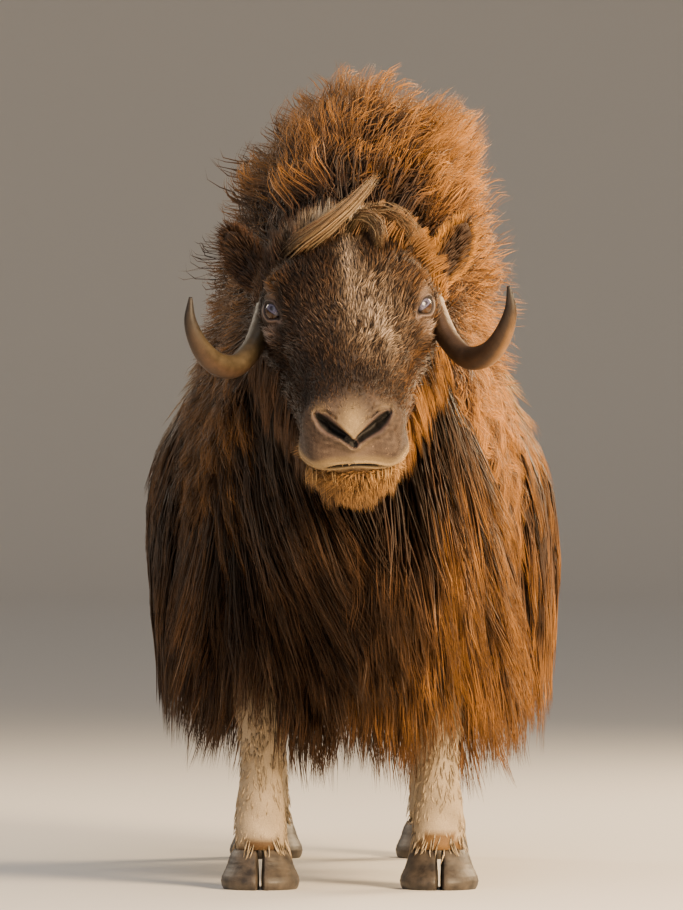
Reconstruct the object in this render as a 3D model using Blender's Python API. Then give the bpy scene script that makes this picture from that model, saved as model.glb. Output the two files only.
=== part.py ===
"""A life-size muskox cow, standing square with her head low and turned to the front.

+Z is up, the animal faces -Y and her left side is +X. The origin is on the floor under the middle of
the model. The trunk is modelled whole and then parted with thin cuts. Lengths are in metres.
"""

import math
import random

import bmesh
import bpy
import numpy as np
from mathutils import Vector

# Fit between touching pieces
GAP = 0.00035
SHARPEST = 0.3

# Trunk under the coat: (y, top, bottom, half width, height of the widest line)
TRUNK = np.array([
    (-0.755, 0.930, 0.830, 0.040, 0.880),
    (-0.735, 0.970, 0.780, 0.090, 0.870),
    (-0.690, 1.005, 0.730, 0.120, 0.850),
    (-0.600, 1.055, 0.655, 0.142, 0.800),
    (-0.490, 1.115, 0.560, 0.160, 0.710),
    (-0.360, 1.155, 0.490, 0.186, 0.630),
    (-0.220, 1.155, 0.465, 0.212, 0.610),
    (-0.020, 1.095, 0.450, 0.236, 0.610),
    (0.220, 1.050, 0.440, 0.256, 0.620),
    (0.450, 1.030, 0.460, 0.252, 0.640),
    (0.650, 1.000, 0.500, 0.226, 0.680),
    (0.800, 0.930, 0.560, 0.172, 0.720),
    (0.880, 0.860, 0.640, 0.105, 0.745),
    (0.905, 0.800, 0.710, 0.040, 0.755),
])
UPPER_ROUND = 1.45
LOWER_ROUND = 2.2

# Dense part of the coat over the trunk: (y, depth on top, depth on the sides, depth below)
COAT_DEPTH = np.array([
    (-0.755, 0.004, 0.004, 0.004),
    (-0.690, 0.016, 0.020, 0.014),
    (-0.560, 0.040, 0.036, 0.026),
    (-0.360, 0.060, 0.044, 0.030),
    (-0.150, 0.045, 0.046, 0.030),
    (0.100, 0.024, 0.046, 0.028),
    (0.650, 0.022, 0.044, 0.028),
    (0.905, 0.016, 0.016, 0.016),
])

# Locks of the long coat, each tier on both sides: degrees from the top, first and last root,
# space between roots, length, width, height of the ridge, how far the tips stand off the core
TIERS = [
    (20, -0.060, 0.820, 0.122, 0.230, 0.128, 0.018, 0.028),
    (45, -0.090, 0.860, 0.112, 0.270, 0.120, 0.020, 0.036),
    (72, -0.600, 0.880, 0.110, 0.310, 0.118, 0.022, 0.050),
    (98, -0.560, 0.860, 0.100, 0.370, 0.106, 0.024, 0.058),
    (132, -0.160, 0.560, 0.240, 0.180, 0.120, 0.024, 0.020),
]
SPINE = (-0.080, 0.860, 0.122, 0.170, 0.118, 0.018, 0.024)

# Locks on the end of the rump: y of the root, degrees from the top, length
RUMP = [(0.895, 0, 0.20), (0.880, 42, 0.26), (0.880, 85, 0.28), (0.865, 118, 0.26), (0.885, 150, 0.24)]
RUMP_WIDTH = 0.110

# Locks of the mane: degrees from the top towards her left, first and last root, space, length, width,
# and how much they stand out, are blown over her back and hang down
MANE = [
    (-60, -0.640, -0.150, 0.106, 0.240, 0.130, 0.45, 0.00, 0.75),
    (-46, -0.650, -0.140, 0.100, 0.215, 0.124, 0.80, 0.15, 0.28),
    (-28, -0.660, -0.140, 0.106, 0.190, 0.106, 0.98, 0.36, 0.00),
    (-8, -0.680, -0.140, 0.106, 0.160, 0.098, 0.92, 0.60, 0.00),
    (15, -0.680, -0.150, 0.106, 0.205, 0.096, 0.95, 0.85, 0.00),
    (36, -0.650, -0.150, 0.106, 0.225, 0.104, 1.00, 0.66, 0.02),
    (58, -0.640, -0.150, 0.108, 0.240, 0.112, 0.75, 0.30, 0.65),
]
MANE_BACK = 0.60
MANE_ROOT_BACK = 0.28
MANE_TIP_STAND = 0.40
MANE_TURN = 0.34
MANE_LIFT = 0.060
MANE_RIDGE = 0.022

# Locks under the throat and on the chest: (x, y, z) of the root, length
BIB = [
    (0.000, -0.655, 0.735, 0.330), (0.062, -0.650, 0.735, 0.320), (0.122, -0.640, 0.750, 0.330),
    (0.176, -0.600, 0.760, 0.340),
    (0.031, -0.610, 0.690, 0.300), (0.093, -0.600, 0.690, 0.310), (0.150, -0.570, 0.690, 0.330),
    (0.000, -0.560, 0.620, 0.270),
]
BIB_WIDTH = 0.082
BIB_RIDGE = 0.022
BIB_WIND = 0.22

# Locks on the head, in its frame (x, f, h): the beard's and throat's root, length and width, mirrored off
# the middle, and the forelock's root, path and width
BEARD = [
    ((0.000, 0.236, -0.124), 0.078, 0.046), ((0.030, 0.224, -0.120), 0.080, 0.048),
    ((0.043, 0.186, -0.124), 0.088, 0.052), ((0.000, 0.190, -0.148), 0.090, 0.050),
    ((0.051, 0.145, -0.130), 0.105, 0.056), ((0.020, 0.140, -0.158), 0.098, 0.050),
    ((0.060, 0.098, -0.136), 0.120, 0.060), ((0.028, 0.085, -0.174), 0.118, 0.060),
]
BEARD_BACK = 0.55
FORELOCK = [
    ((-0.078, -0.105, 0.040), ((-0.060, -0.060, 0.085), (-0.020, -0.075, 0.110), (0.020, -0.100, 0.132),
                               (0.050, -0.135, 0.140)), 0.036),
    ((-0.030, -0.085, 0.050), ((0.000, -0.080, 0.090), (0.030, -0.075, 0.100), (0.052, -0.055, 0.092),
                               (0.060, -0.030, 0.082)), 0.030),
    ((0.010, -0.120, 0.040), ((0.040, -0.125, 0.085), (0.075, -0.115, 0.092), (0.098, -0.095, 0.080),
                              (0.112, -0.070, 0.060)), 0.034),
]
HEAD_RIDGE = 0.012

# How every lock is made: how far its root is sunk, its steps, and how it varies
SEED = 7
ROOT_DEPTH = 0.020
LOCK_STEPS = 4
LOCK_VARY = 0.14
LOCK_LEAN = 0.14
ROOT_SHIFT = 0.2
ROOT_SWING = 5.0
DOWN = Vector((0, 0.04, -1))
BACK = Vector((0, 1, 0))

# Every other lock of a row lies a little further out, so that neighbours don't share a face
LOCK_NEAR = 0.006
LOCK_STAGGER = 0.010

# How hanging and lying locks leave the core, and how fast they turn down or back
HANG_OUT = 0.55
HANG_TURN = 0.45
SPINE_OUT = 0.7
SPINE_TURN = 0.4

# Head in its own frame: x to her left, f forward along the face, h up from the face
# (f, top, bottom, half width, height of the widest line), from the flat where it meets the neck
HEAD_PITCH = math.radians(40.0)
HEAD_ROLL = math.radians(2.0)
EYE_MIDDLE = Vector((-0.002, -0.800, 0.914))
HEAD = np.array([
    (-0.150, 0.050, -0.205, 0.112, -0.070),
    (-0.090, 0.070, -0.228, 0.124, -0.055),
    (-0.030, 0.074, -0.228, 0.125, -0.040),
    (0.015, 0.070, -0.218, 0.117, -0.036),
    (0.070, 0.058, -0.198, 0.101, -0.050),
    (0.125, 0.046, -0.182, 0.087, -0.066),
    (0.180, 0.034, -0.170, 0.078, -0.074),
    (0.225, 0.022, -0.154, 0.077, -0.074),
    (0.256, 0.006, -0.138, 0.073, -0.070),
    (0.276, -0.014, -0.118, 0.060, -0.064),
    (0.286, -0.034, -0.098, 0.038, -0.060),
])
HEAD_ROOM = (0.140, 0.520, -0.234, 0.300)
HEAD_UPPER_ROUND = 2.3
HEAD_LOWER_ROUND = 1.9

# Pushes on the head's surface: (x, f, h), radius, (push x, push f, push h), mirrored where x is not 0
STROKES = [
    ((0.112, 0.000, -0.002), 0.036, (0.017, 0.000, 0.000)),
    ((0.104, -0.012, 0.036), 0.026, (0.007, 0.000, 0.010)),
    ((0.104, 0.042, -0.028), 0.018, (0.006, 0.000, 0.000)),
    ((0.096, -0.080, -0.120), 0.070, (0.014, 0.000, 0.000)),
    ((0.056, 0.240, -0.020), 0.024, (0.011, 0.006, 0.008)),
    ((0.048, 0.262, -0.078), 0.024, (0.010, 0.006, -0.002)),
    ((0.000, 0.276, -0.022), 0.022, (0.000, 0.006, 0.004)),
    ((0.000, 0.250, -0.128), 0.030, (0.000, 0.008, -0.010)),
    ((0.000, -0.020, 0.070), 0.060, (0.000, 0.000, 0.010)),
    ((0.000, 0.080, 0.056), 0.040, (0.000, 0.000, -0.006)),
]

# Eye, in the head's frame
EYE_PLACE = Vector((0.1065, 0.000, -0.002))
EYE_RADIUS = 0.0215
EYE_LOOK = (0.70, 0.48, 0.42)
EYE_SLANT = 0.15
LID_THICK = 0.0060
LID_HALF_LENGTH = 0.0190
LID_HALF_HEIGHT = 0.0150
LID_POINT = 0.25

# Nose and mouth, in the head's frame
NOSTRIL = [(0.053, 0.256, 0.000), (0.046, 0.272, -0.010), (0.030, 0.286, -0.022), (0.008, 0.296, -0.035)]
NOSTRIL_RADII = (0.0075, 0.0095, 0.0065, 0.0030)
NOSTRIL_FLAT = 0.8
MOUTH = [(0.096, 0.150, -0.112), (0.087, 0.190, -0.102), (0.082, 0.232, -0.090), (0.060, 0.270, -0.081),
         (0.028, 0.288, -0.074), (0.000, 0.292, -0.070)]
MOUTH_DEPTH = 0.017
MOUTH_HEIGHT = 0.0050
MOUTH_INNER = 0.75
MOUTH_RISE = 0.006
PHILTRUM = (0.0030, 0.0150)

# Horn of her left side, before the head's roll: (x, y, z), radius
HORN = np.array([
    (0.052, -0.712, 1.012, 0.0260),
    (0.088, -0.706, 0.994, 0.0280),
    (0.114, -0.714, 0.954, 0.0255),
    (0.131, -0.738, 0.906, 0.0220),
    (0.150, -0.776, 0.860, 0.0205),
    (0.180, -0.826, 0.830, 0.0200),
    (0.211, -0.870, 0.838, 0.0178),
    (0.233, -0.902, 0.868, 0.0142),
    (0.243, -0.919, 0.902, 0.0095),
    (0.241, -0.925, 0.936, 0.0030),
])
HORN_FLAT = 0.82

# Ear of her left side, before the head's roll
EAR_ROOT = Vector((0.128, -0.700, 0.940))
EAR_TIP = Vector((0.186, -0.668, 1.040))
EAR_WIDTH = 0.060
EAR_CUP = 0.020
EAR_WALL = 0.006
EAR_FACING = (0.45, -0.85, 0.0)
EAR_OUTLINE = ((-0.10, 0.42), (0.05, 0.48), (0.20, 0.72), (0.40, 0.97), (0.58, 1.0), (0.76, 0.82),
               (0.90, 0.52), (1.0, 0.16))

# Legs of her left side: (x, y, z, half width, half length)
FRONT_LEG = np.array([
    (0.135, -0.330, 0.590, 0.070, 0.095),
    (0.138, -0.330, 0.480, 0.060, 0.076),
    (0.140, -0.325, 0.390, 0.050, 0.058),
    (0.141, -0.322, 0.290, 0.043, 0.047),
    (0.141, -0.316, 0.200, 0.035, 0.037),
    (0.142, -0.320, 0.118, 0.043, 0.044),
    (0.142, -0.330, 0.082, 0.044, 0.044),
    (0.142, -0.334, 0.0624, 0.043, 0.043),
])
HIND_LEG = np.array([
    (0.128, 0.600, 0.640, 0.080, 0.130),
    (0.136, 0.615, 0.520, 0.070, 0.098),
    (0.140, 0.645, 0.420, 0.052, 0.066),
    (0.142, 0.676, 0.335, 0.042, 0.054),
    (0.142, 0.668, 0.220, 0.035, 0.040),
    (0.142, 0.652, 0.118, 0.042, 0.044),
    (0.142, 0.638, 0.082, 0.043, 0.044),
    (0.142, 0.634, 0.0624, 0.042, 0.042),
])

# Hooves: two claws to a foot, and two dewclaws behind
CLAW_LENGTH = 0.118
CLAW_WIDTH = 0.054
CLAW_HEIGHT = 0.0620
CLAW_APART = 0.003
CLAW_FORWARD = 0.016
CLAW_INNER = 0.12
CLAW_NARROW = 0.10
CLAW_LEVELS = ((0.0, 0.94, 0.0), (0.008, 1.0, 0.0), (0.037, 0.84, 0.010), (CLAW_HEIGHT, 0.66, 0.018))
DEWCLAW_RADIUS = 0.013
DEWCLAW_HEIGHT = 0.088
DEWCLAW_BACK = 0.043

# Tail
TAIL_ROOT = Vector((0.0, 0.890, 0.835))
TAIL_LENGTH = 0.150
TAIL_RADIUS = 0.030

# Where the trunk is parted
TRUNK_NAMES = ("neck", "torso_shoulders", "torso_barrel", "torso_rump")
NECK_CUT = -0.520
SHOULDER_CUT = -0.020
RUMP_CUT = 0.480

# How finely the round forms are faceted
STEP = 0.004
NEAR = 0.012
FAR = 3.0
TRUNK_STATIONS = np.arange(-0.74, 0.90, 0.08)
TRUNK_SIDES = 20
HEAD_PARTS = 2
HEAD_SIDES = 26
HORN_RINGS = 16
HORN_SIDES = 9
EAR_SIDES = 10
LEG_RINGS = 11
LEG_SIDES = 10
CLAW_SIDES = 10
LID_SIDES = 12
EYE_SIDES = 12
EYE_RINGS = 8
TAIL_RINGS = 5
TAIL_SIDES = 8
SHARP_EDGE = math.radians(50)

# Colours
COAT_COLOUR = (0.075, 0.042, 0.020)
FACE_COLOUR = (0.110, 0.062, 0.032)
LEG_COLOUR = (0.420, 0.330, 0.220)
HORN_COLOUR = (0.200, 0.150, 0.090)
HOOF_COLOUR = (0.040, 0.033, 0.028)
EYE_COLOUR = (0.020, 0.012, 0.010)


def clear_scene():
    for old in list(bpy.data.objects):
        bpy.data.objects.remove(old)


def smooth_rows(table, at):
    """The table's other columns at these values of its first one, on a smooth curve through the rows."""
    knots = table[:, 0]
    at = np.clip(np.asarray(at, float), knots[0], knots[-1])
    place = np.clip(np.searchsorted(knots, at, side="right") - 1, 0, len(knots) - 2)
    slopes = np.gradient(table[:, 1:], knots, axis=0)
    width = (knots[place + 1] - knots[place])[..., None]
    t = (at - knots[place])[..., None] / width
    low, high = table[place, 1:], table[place + 1, 1:]
    ease = t * t * (3 - 2 * t)
    bend = t * (1 - t) * ((1 - t) * slopes[place] - t * slopes[place + 1]) * width
    return low + (high - low) * ease + bend


def section(half, up, down, upper_round, lower_round, angles):
    """Points (across, height) round a section. Angle 0 is its top and half a turn its bottom."""
    side, height = np.sin(angles), np.cos(angles)
    power = np.where(height >= 0, 2 / upper_round, 2 / lower_round)
    reach = np.where(height >= 0, up, down)
    across = half * np.sign(side) * np.abs(side) ** power
    return across, reach * np.sign(height) * np.abs(height) ** power


def trunk_point(y, angle):
    """Point on the outside of the coat's core at station y and this angle from the top."""
    y, angle = np.broadcast_arrays(np.asarray(y, float), np.asarray(angle, float))
    top, bottom, half, wide = np.moveaxis(smooth_rows(TRUNK, y), -1, 0)
    on_top, on_side, below = np.moveaxis(smooth_rows(COAT_DEPTH, y), -1, 0)
    across, height = section(
        half + on_side, top - wide + on_top, wide - bottom + below, UPPER_ROUND, LOWER_ROUND, angle
    )
    return np.stack([across, y, wide + height], axis=-1)


def way_out(y, angle):
    """The way square out of the core at this place."""
    along = trunk_point(y + STEP, angle) - trunk_point(y - STEP, angle)
    around = trunk_point(y, angle + STEP) - trunk_point(y, angle - STEP)
    return Vector(np.cross(around, along)).normalized()


def outside_trunk(point):
    """How far a point lies outside the trunk's core, and the way out, in the plane of its section."""
    top, bottom, half, wide = smooth_rows(TRUNK, point[1])
    on_top, on_side, below = smooth_rows(COAT_DEPTH, point[1])
    above = point[2] >= wide
    reach = top - wide + on_top if above else wide - bottom + below
    power = UPPER_ROUND if above else LOWER_ROUND
    across, height = point[0] / (half + on_side), (point[2] - wide) / reach
    size = (abs(across) ** power + abs(height) ** power) ** (1 / power)
    slope = Vector((
        np.sign(across) * abs(across) ** (power - 1) / (half + on_side),
        0.0,
        np.sign(height) * abs(height) ** (power - 1) / reach,
    ))
    if size < 1e-6 or slope.length < 1e-6:
        return -1.0, Vector((0, 0, 1))
    return (size - 1) * size ** (power - 1) / slope.length, slope.normalized()


def new_object(name, points, faces):
    mesh = bpy.data.meshes.new(name)
    mesh.from_pydata([tuple(map(float, p)) for p in points], [], faces)
    mesh.update()
    made = bpy.data.objects.new(name, mesh)
    bpy.context.scene.collection.objects.link(made)
    return made


def loft(name, rings):
    """A closed skin over rings of points, each ring run the same way, with flat ends."""
    rings = np.asarray(rings)
    count, round_count = rings.shape[:2]
    faces = []
    for i in range(count - 1):
        for j in range(round_count):
            k = (j + 1) % round_count
            a, b = i * round_count, (i + 1) * round_count
            faces.append((a + j, a + k, b + k, b + j))
    faces.append(tuple(reversed(range(round_count))))
    last = (count - 1) * round_count
    faces.append(tuple(last + j for j in range(round_count)))
    made = new_object(name, rings.reshape(-1, 3), faces)
    face_out(made)
    return made


def face_out(made):
    """Splits a closed mesh into triangles and turns them outwards."""
    work = bmesh.new()
    work.from_mesh(made.data)
    bmesh.ops.triangulate(work, faces=work.faces)
    bmesh.ops.recalc_face_normals(work, faces=work.faces)
    if work.calc_volume(signed=True) < 0:
        bmesh.ops.reverse_faces(work, faces=work.faces)
    work.to_mesh(made.data)
    work.free()


def tube_rings(path, radii, sides, flat=1.0, across=Vector((1, 0, 0))):
    """Rings along a path, carried without twist. flat squeezes them square to across."""
    path = [Vector(p) for p in path]
    rings = []
    side = Vector(across)
    for i, point in enumerate(path):
        ahead = (path[min(i + 1, len(path) - 1)] - path[max(i - 1, 0)]).normalized()
        side = (side - ahead * side.dot(ahead)).normalized()
        lift = ahead.cross(side)
        angles = np.linspace(0, 2 * math.pi, sides, endpoint=False)
        rings.append([
            point + side * math.cos(a) * radii[i] + lift * math.sin(a) * radii[i] * flat for a in angles
        ])
    return rings


def boolean(base, others, operation):
    """Joins or cuts the base with the other objects in one Boolean, applies it and removes them."""
    tools = bpy.data.collections.new("tools")
    for other in others:
        for home in list(other.users_collection):
            home.objects.unlink(other)
        tools.objects.link(other)
    bpy.context.scene.collection.children.link(tools)
    change = base.modifiers.new("join", "BOOLEAN")
    change.operation = operation
    change.operand_type = "COLLECTION"
    change.collection = tools
    change.solver = "EXACT"
    apply_modifiers(base)
    for other in others:
        bpy.data.objects.remove(other)
    bpy.data.collections.remove(tools)
    return base


def apply_modifiers(made):
    bpy.context.view_layer.update()
    graph = bpy.context.evaluated_depsgraph_get()
    mesh = bpy.data.meshes.new_from_object(made.evaluated_get(graph))
    made.modifiers.clear()
    old = made.data
    made.data = mesh
    bpy.data.meshes.remove(old)


def keep_largest(made):
    """Keeps the closed surface that holds most, so a sealed hollow is filled and a scrap is dropped."""
    work = bmesh.new()
    work.from_mesh(made.data)
    bmesh.ops.remove_doubles(work, verts=work.verts, dist=1e-6)
    bmesh.ops.triangulate(work, faces=work.faces)
    left = set(work.faces)
    shells = []
    while left:
        shell, front = set(), [left.pop()]
        while front:
            face = front.pop()
            shell.add(face)
            for edge in face.edges:
                for near in edge.link_faces:
                    if near in left:
                        left.remove(near)
                        front.append(near)
        shells.append(shell)
    best = max(shells, key=shell_volume)
    spare = [f for shell in shells if shell is not best for f in shell]
    bmesh.ops.delete(work, geom=spare, context="FACES")
    bmesh.ops.delete(work, geom=[v for v in work.verts if not v.link_faces], context="VERTS")
    work.to_mesh(made.data)
    work.free()
    return made


def shell_volume(shell):
    total = 0.0
    for face in shell:
        a, b, c = (v.co for v in face.verts)
        total += a.dot(b.cross(c)) / 6
    return total


def swollen(made, by=GAP):
    """A copy of a closed mesh moved out by this much, also beside its sharp edges."""
    work = bmesh.new()
    work.from_mesh(made.data)
    bmesh.ops.triangulate(work, faces=work.faces)
    work.normal_update()
    moves = []
    for vertex in work.verts:
        out = sum((f.normal for f in vertex.link_faces), Vector()).normalized()
        least = min(out.dot(f.normal) for f in vertex.link_faces)
        moves.append(out * by / max(least, SHARPEST))
    for vertex, move in zip(work.verts, moves):
        vertex.co += move
    mesh = bpy.data.meshes.new(made.name + "_room")
    work.to_mesh(mesh)
    work.free()
    copy = bpy.data.objects.new(made.name + "_room", mesh)
    bpy.context.scene.collection.objects.link(copy)
    return copy


def head_axes():
    forward = Vector((0, -math.cos(HEAD_PITCH), -math.sin(HEAD_PITCH)))
    up = Vector((0, -math.sin(HEAD_PITCH), math.cos(HEAD_PITCH)))
    return forward, up


def rolled(point):
    """A point of the level head after the head's roll about the line of sight through the eyes."""
    arm = Vector(point) - EYE_MIDDLE
    cos, sin = math.cos(HEAD_ROLL), math.sin(HEAD_ROLL)
    return EYE_MIDDLE + Vector((arm.x * cos - arm.z * sin, arm.y, arm.x * sin + arm.z * cos))


def head_to_world(local):
    forward, up = head_axes()
    x, f, h = local
    return rolled(EYE_MIDDLE + Vector((x, 0, 0)) + forward * f + up * h)


def to_world(made):
    """Moves a piece modelled in the head's frame to its place."""
    for vertex in made.data.vertices:
        vertex.co = head_to_world(vertex.co)
    face_out(made)
    return made


def roll_piece(made):
    for vertex in made.data.vertices:
        vertex.co = rolled(vertex.co)
    return made


def lock(path, outs, width, ridge):
    """A flat, tapered lock of hair along a path, its inner side flat and a low ridge along its outer one."""
    last = len(path) - 1
    rings = []
    for i, point in enumerate(path[:-1]):
        ahead = (path[i + 1] - path[max(i - 1, 0)]).normalized()
        side = ahead.cross(outs[i]).normalized()
        out = side.cross(ahead)
        share = i / last
        half = width / 2 * (0.74 + 0.52 * share if share < 0.5 else 1.0 - 1.3 * (share - 0.5) ** 1.25)
        rings.append([point - side * half, point + side * half, point + out * ridge * (1 - 0.5 * share)])
    points = [tuple(p) for ring in rings for p in ring] + [tuple(path[-1])]
    faces = [(0, 1, 2)]
    for i in range(len(rings) - 1):
        for j in range(3):
            k = (j + 1) % 3
            faces.append((3 * i + j, 3 * i + k, 3 * i + 3 + k, 3 * i + 3 + j))
    tip, ring = len(points) - 1, 3 * (len(rings) - 1)
    for j in range(3):
        faces.append((ring + j, ring + (j + 1) % 3, tip))
    made = new_object("lock", points, faces)
    face_out(made)
    return made


def fall_path(root, start, length, turn, pull, lifts):
    """A path that leaves the root along start, turns towards pull and stays off the core."""
    ahead = start.normalized()
    place = Vector(root)
    path, outs = [place.copy()], [outside_trunk(place)[1]]
    for i in range(LOCK_STEPS):
        ahead = (ahead * (1 - turn) + pull * turn).normalized()
        place = place + ahead * length / LOCK_STEPS
        off, out = outside_trunk(place)
        want = lifts[0] + (lifts[1] - lifts[0]) * (i + 1) / LOCK_STEPS
        if off < want:
            place = place + out * (want - off)
        path.append(place.copy())
        outs.append(out)
    return path, outs


def row_places(chance, row, first, last, apart):
    """Where a row's locks are rooted, every other row half a space further on."""
    places = np.arange(first + apart / 2 * (row % 2), last, apart)
    return [min(max(y + chance.uniform(-ROOT_SHIFT, ROOT_SHIFT) * apart, first), last) for y in places]


def sunk_root(chance, y, degrees):
    """A root sunk in the core near this place, and the way out there."""
    angle = math.radians(degrees + chance.uniform(-ROOT_SWING, ROOT_SWING))
    out = way_out(y, angle)
    return Vector(trunk_point(y, angle)) - out * ROOT_DEPTH, out


def tier_locks(chance):
    """The tiers of long locks that hang over each other down both sides, with the y of each root."""
    locks = []
    for row, (degrees, first, last, apart, length, width, ridge, lift) in enumerate(TIERS):
        for side in (1, -1):
            for i, y in enumerate(row_places(chance, row, first, last, apart)):
                root, out = sunk_root(chance, y, side * degrees)
                vary = 1 + chance.uniform(-LOCK_VARY, LOCK_VARY)
                lean = BACK * chance.uniform(-LOCK_LEAN, LOCK_LEAN)
                near = LOCK_NEAR + LOCK_STAGGER * (i % 2)
                start = out * HANG_OUT + DOWN + lean
                pull = (DOWN + lean).normalized()
                path, outs = fall_path(root, start, length * vary, HANG_TURN, pull, (near, lift + near))
                locks.append((y, lock(path, outs, width * vary, ridge)))
    return locks


def spine_locks(chance):
    """Short locks lying back along the middle of the back."""
    first, last, apart, length, width, ridge, lift = SPINE
    locks = []
    for y in row_places(chance, 0, first, last, apart):
        root, out = sunk_root(chance, y, 0)
        aside = Vector((chance.uniform(-LOCK_LEAN, LOCK_LEAN), 0, 0))
        path, outs = fall_path(root, out * SPINE_OUT + BACK + aside, length, SPINE_TURN,
                               Vector((0, 1, -0.15)), (LOCK_NEAR, lift))
        locks.append((y, lock(path, outs, width, ridge)))
    return locks


def rump_locks(chance):
    """The locks that hang over the end of the rump."""
    locks = []
    for y, degrees, length in RUMP:
        for side in (1, -1) if degrees else (1,):
            root, out = sunk_root(chance, y, side * degrees)
            vary = 1 + chance.uniform(-LOCK_VARY, LOCK_VARY)
            path = [root]
            ahead = out + Vector((0, 0.2, -0.6))
            for _ in range(LOCK_STEPS):
                ahead = (ahead.normalized() * 0.5 + Vector((0, 0.02, -0.5))).normalized()
                path.append(path[-1] + ahead * length * vary / LOCK_STEPS)
            outs = [Vector((out.x * 0.6, 1, 0)).normalized()] * len(path)
            locks.append((y, lock(path, outs, RUMP_WIDTH * vary, MANE_RIDGE)))
    return locks


def mane_locks(chance):
    """The mane over neck and hump, stood up, leaning back and blown towards her left."""
    locks = []
    for row, (degrees, first, last, apart, length, width, stand, blown, hang) in enumerate(MANE):
        for i, y in enumerate(row_places(chance, row, first, last, apart)):
            root, out = sunk_root(chance, y, degrees)
            vary = 1 + chance.uniform(-LOCK_VARY, LOCK_VARY)
            lean = Vector((chance.uniform(-LOCK_LEAN, LOCK_LEAN), chance.uniform(-LOCK_LEAN, LOCK_LEAN), 0))
            angle = math.radians(degrees)
            over = Vector((math.cos(angle), 0, -math.sin(angle))) * blown + DOWN * hang
            start = out * stand + over + BACK * MANE_ROOT_BACK + lean
            pull = (out * stand * MANE_TIP_STAND + over + BACK * MANE_BACK + lean).normalized()
            near = LOCK_NEAR + LOCK_STAGGER * (i % 2)
            path, outs = fall_path(root, start, length * vary, MANE_TURN, pull, (near, MANE_LIFT + near))
            locks.append((y, lock(path, outs, width * vary, MANE_RIDGE)))
    return locks


def bib_locks(chance):
    """The long hair that hangs from the throat and in front of the chest, drifting with the wind."""
    locks = []
    for x, y, z, length in BIB:
        for side in (1, -1) if x else (1,):
            vary = 1 + chance.uniform(-LOCK_VARY, LOCK_VARY)
            drift = Vector((BIB_WIND + chance.uniform(-0.10, 0.10), chance.uniform(-0.08, 0.04), -1))
            path = [Vector((x * side, y, z))]
            ahead = Vector((1.2 * x * side, -0.35, -1))
            for _ in range(LOCK_STEPS):
                ahead = (ahead.normalized() * 0.6 + drift * 0.4).normalized()
                path.append(path[-1] + ahead * length * vary / LOCK_STEPS)
            outs = [Vector((x * side * 3, -1, 0)).normalized()] * len(path)
            locks.append((y, lock(path, outs, BIB_WIDTH * vary, BIB_RIDGE)))
    return locks


def head_locks():
    """The beard and the hair under the jaw, and the forelock blown across the brow, in the head's frame."""
    locks = []
    forward, up = head_axes()
    down = Vector((0, DOWN.dot(forward), DOWN.dot(up)))
    back = Vector((0, BACK.dot(forward), BACK.dot(up)))
    for (x, f, h), length, width in BEARD:
        for side in (1, -1) if x else (1,):
            path = [Vector((x * side, f, h))]
            for step in range(LOCK_STEPS):
                way = down + Vector((3 * x * side, 0, 0)) + back * BEARD_BACK * step / LOCK_STEPS
                path.append(path[-1] + way.normalized() * length / LOCK_STEPS)
            out = Vector((20 * x * side, 0.6, -0.2)).normalized()
            locks.append(lock(path, [out] * len(path), width, HEAD_RIDGE))
    for root, rest, width in FORELOCK:
        path = [Vector(root)] + [Vector(p) for p in rest]
        locks.append(lock(path, [Vector((0.1, 0.7, 0.7))] * len(path), width, HEAD_RIDGE))
    return locks


def face_stations(table, parts):
    """Stations between the rows of a table, more of them where the rows are close."""
    knots = table[:, 0]
    steps = [np.linspace(a, b, parts, endpoint=False) for a, b in zip(knots[:-1], knots[1:])]
    return np.append(np.concatenate(steps), knots[-1])


def trunk_piece(name, start, end):
    """The trunk from one station to another, out to the tips of the coat."""
    inner = TRUNK_STATIONS[(TRUNK_STATIONS > start + NEAR) & (TRUNK_STATIONS < end - NEAR)]
    stations = np.concatenate([[start], inner, [end]])
    angles = np.linspace(0, 2 * math.pi, TRUNK_SIDES, endpoint=False)
    return loft(name, [trunk_point(y, angles) for y in stations])


def slab(name, start, end):
    """The space between a node's cuts, open-ended at the front of the neck and behind the rump."""
    front = start + GAP / 2 if name != TRUNK_NAMES[0] else start - FAR
    back = end - GAP / 2 if name != TRUNK_NAMES[-1] else end + FAR
    corners = ((-FAR, -FAR), (FAR, -FAR), (FAR, FAR), (-FAR, FAR))
    return loft("slab", [[(x, y, z) for x, z in corners] for y in (front, back)])


def head_surface():
    """The head without its openings, in its own frame."""
    stations = face_stations(HEAD, HEAD_PARTS)
    angles = np.linspace(0, 2 * math.pi, HEAD_SIDES, endpoint=False)
    rings = []
    for f in stations:
        top, bottom, half, wide = smooth_rows(HEAD, f)
        across, height = section(half, top - wide, wide - bottom, HEAD_UPPER_ROUND, HEAD_LOWER_ROUND, angles)
        rings.append(np.stack([across, np.full(HEAD_SIDES, f), wide + height], axis=-1))
    points = np.array(rings)
    for centre, radius, push in STROKES:
        for side in (1, -1) if centre[0] else (1,):
            mirror = np.array((side, 1, 1))
            away = np.linalg.norm(points - np.array(centre) * mirror, axis=-1) / radius
            points = points + np.exp(-away ** 2)[..., None] * np.array(push) * mirror
    return loft("head", points)


def sphere(name, centre, radius, around, rings):
    mesh = bpy.data.meshes.new(name)
    work = bmesh.new()
    bmesh.ops.create_uvsphere(work, u_segments=around, v_segments=rings, radius=radius)
    bmesh.ops.translate(work, verts=work.verts, vec=centre)
    work.to_mesh(mesh)
    work.free()
    made = bpy.data.objects.new(name, mesh)
    bpy.context.scene.collection.objects.link(made)
    face_out(made)
    return made


def eyeball(name, side, radius):
    centre = Vector((EYE_PLACE.x * side, EYE_PLACE.y, EYE_PLACE.z))
    return sphere(name, centre, radius, EYE_SIDES, EYE_RINGS)


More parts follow.
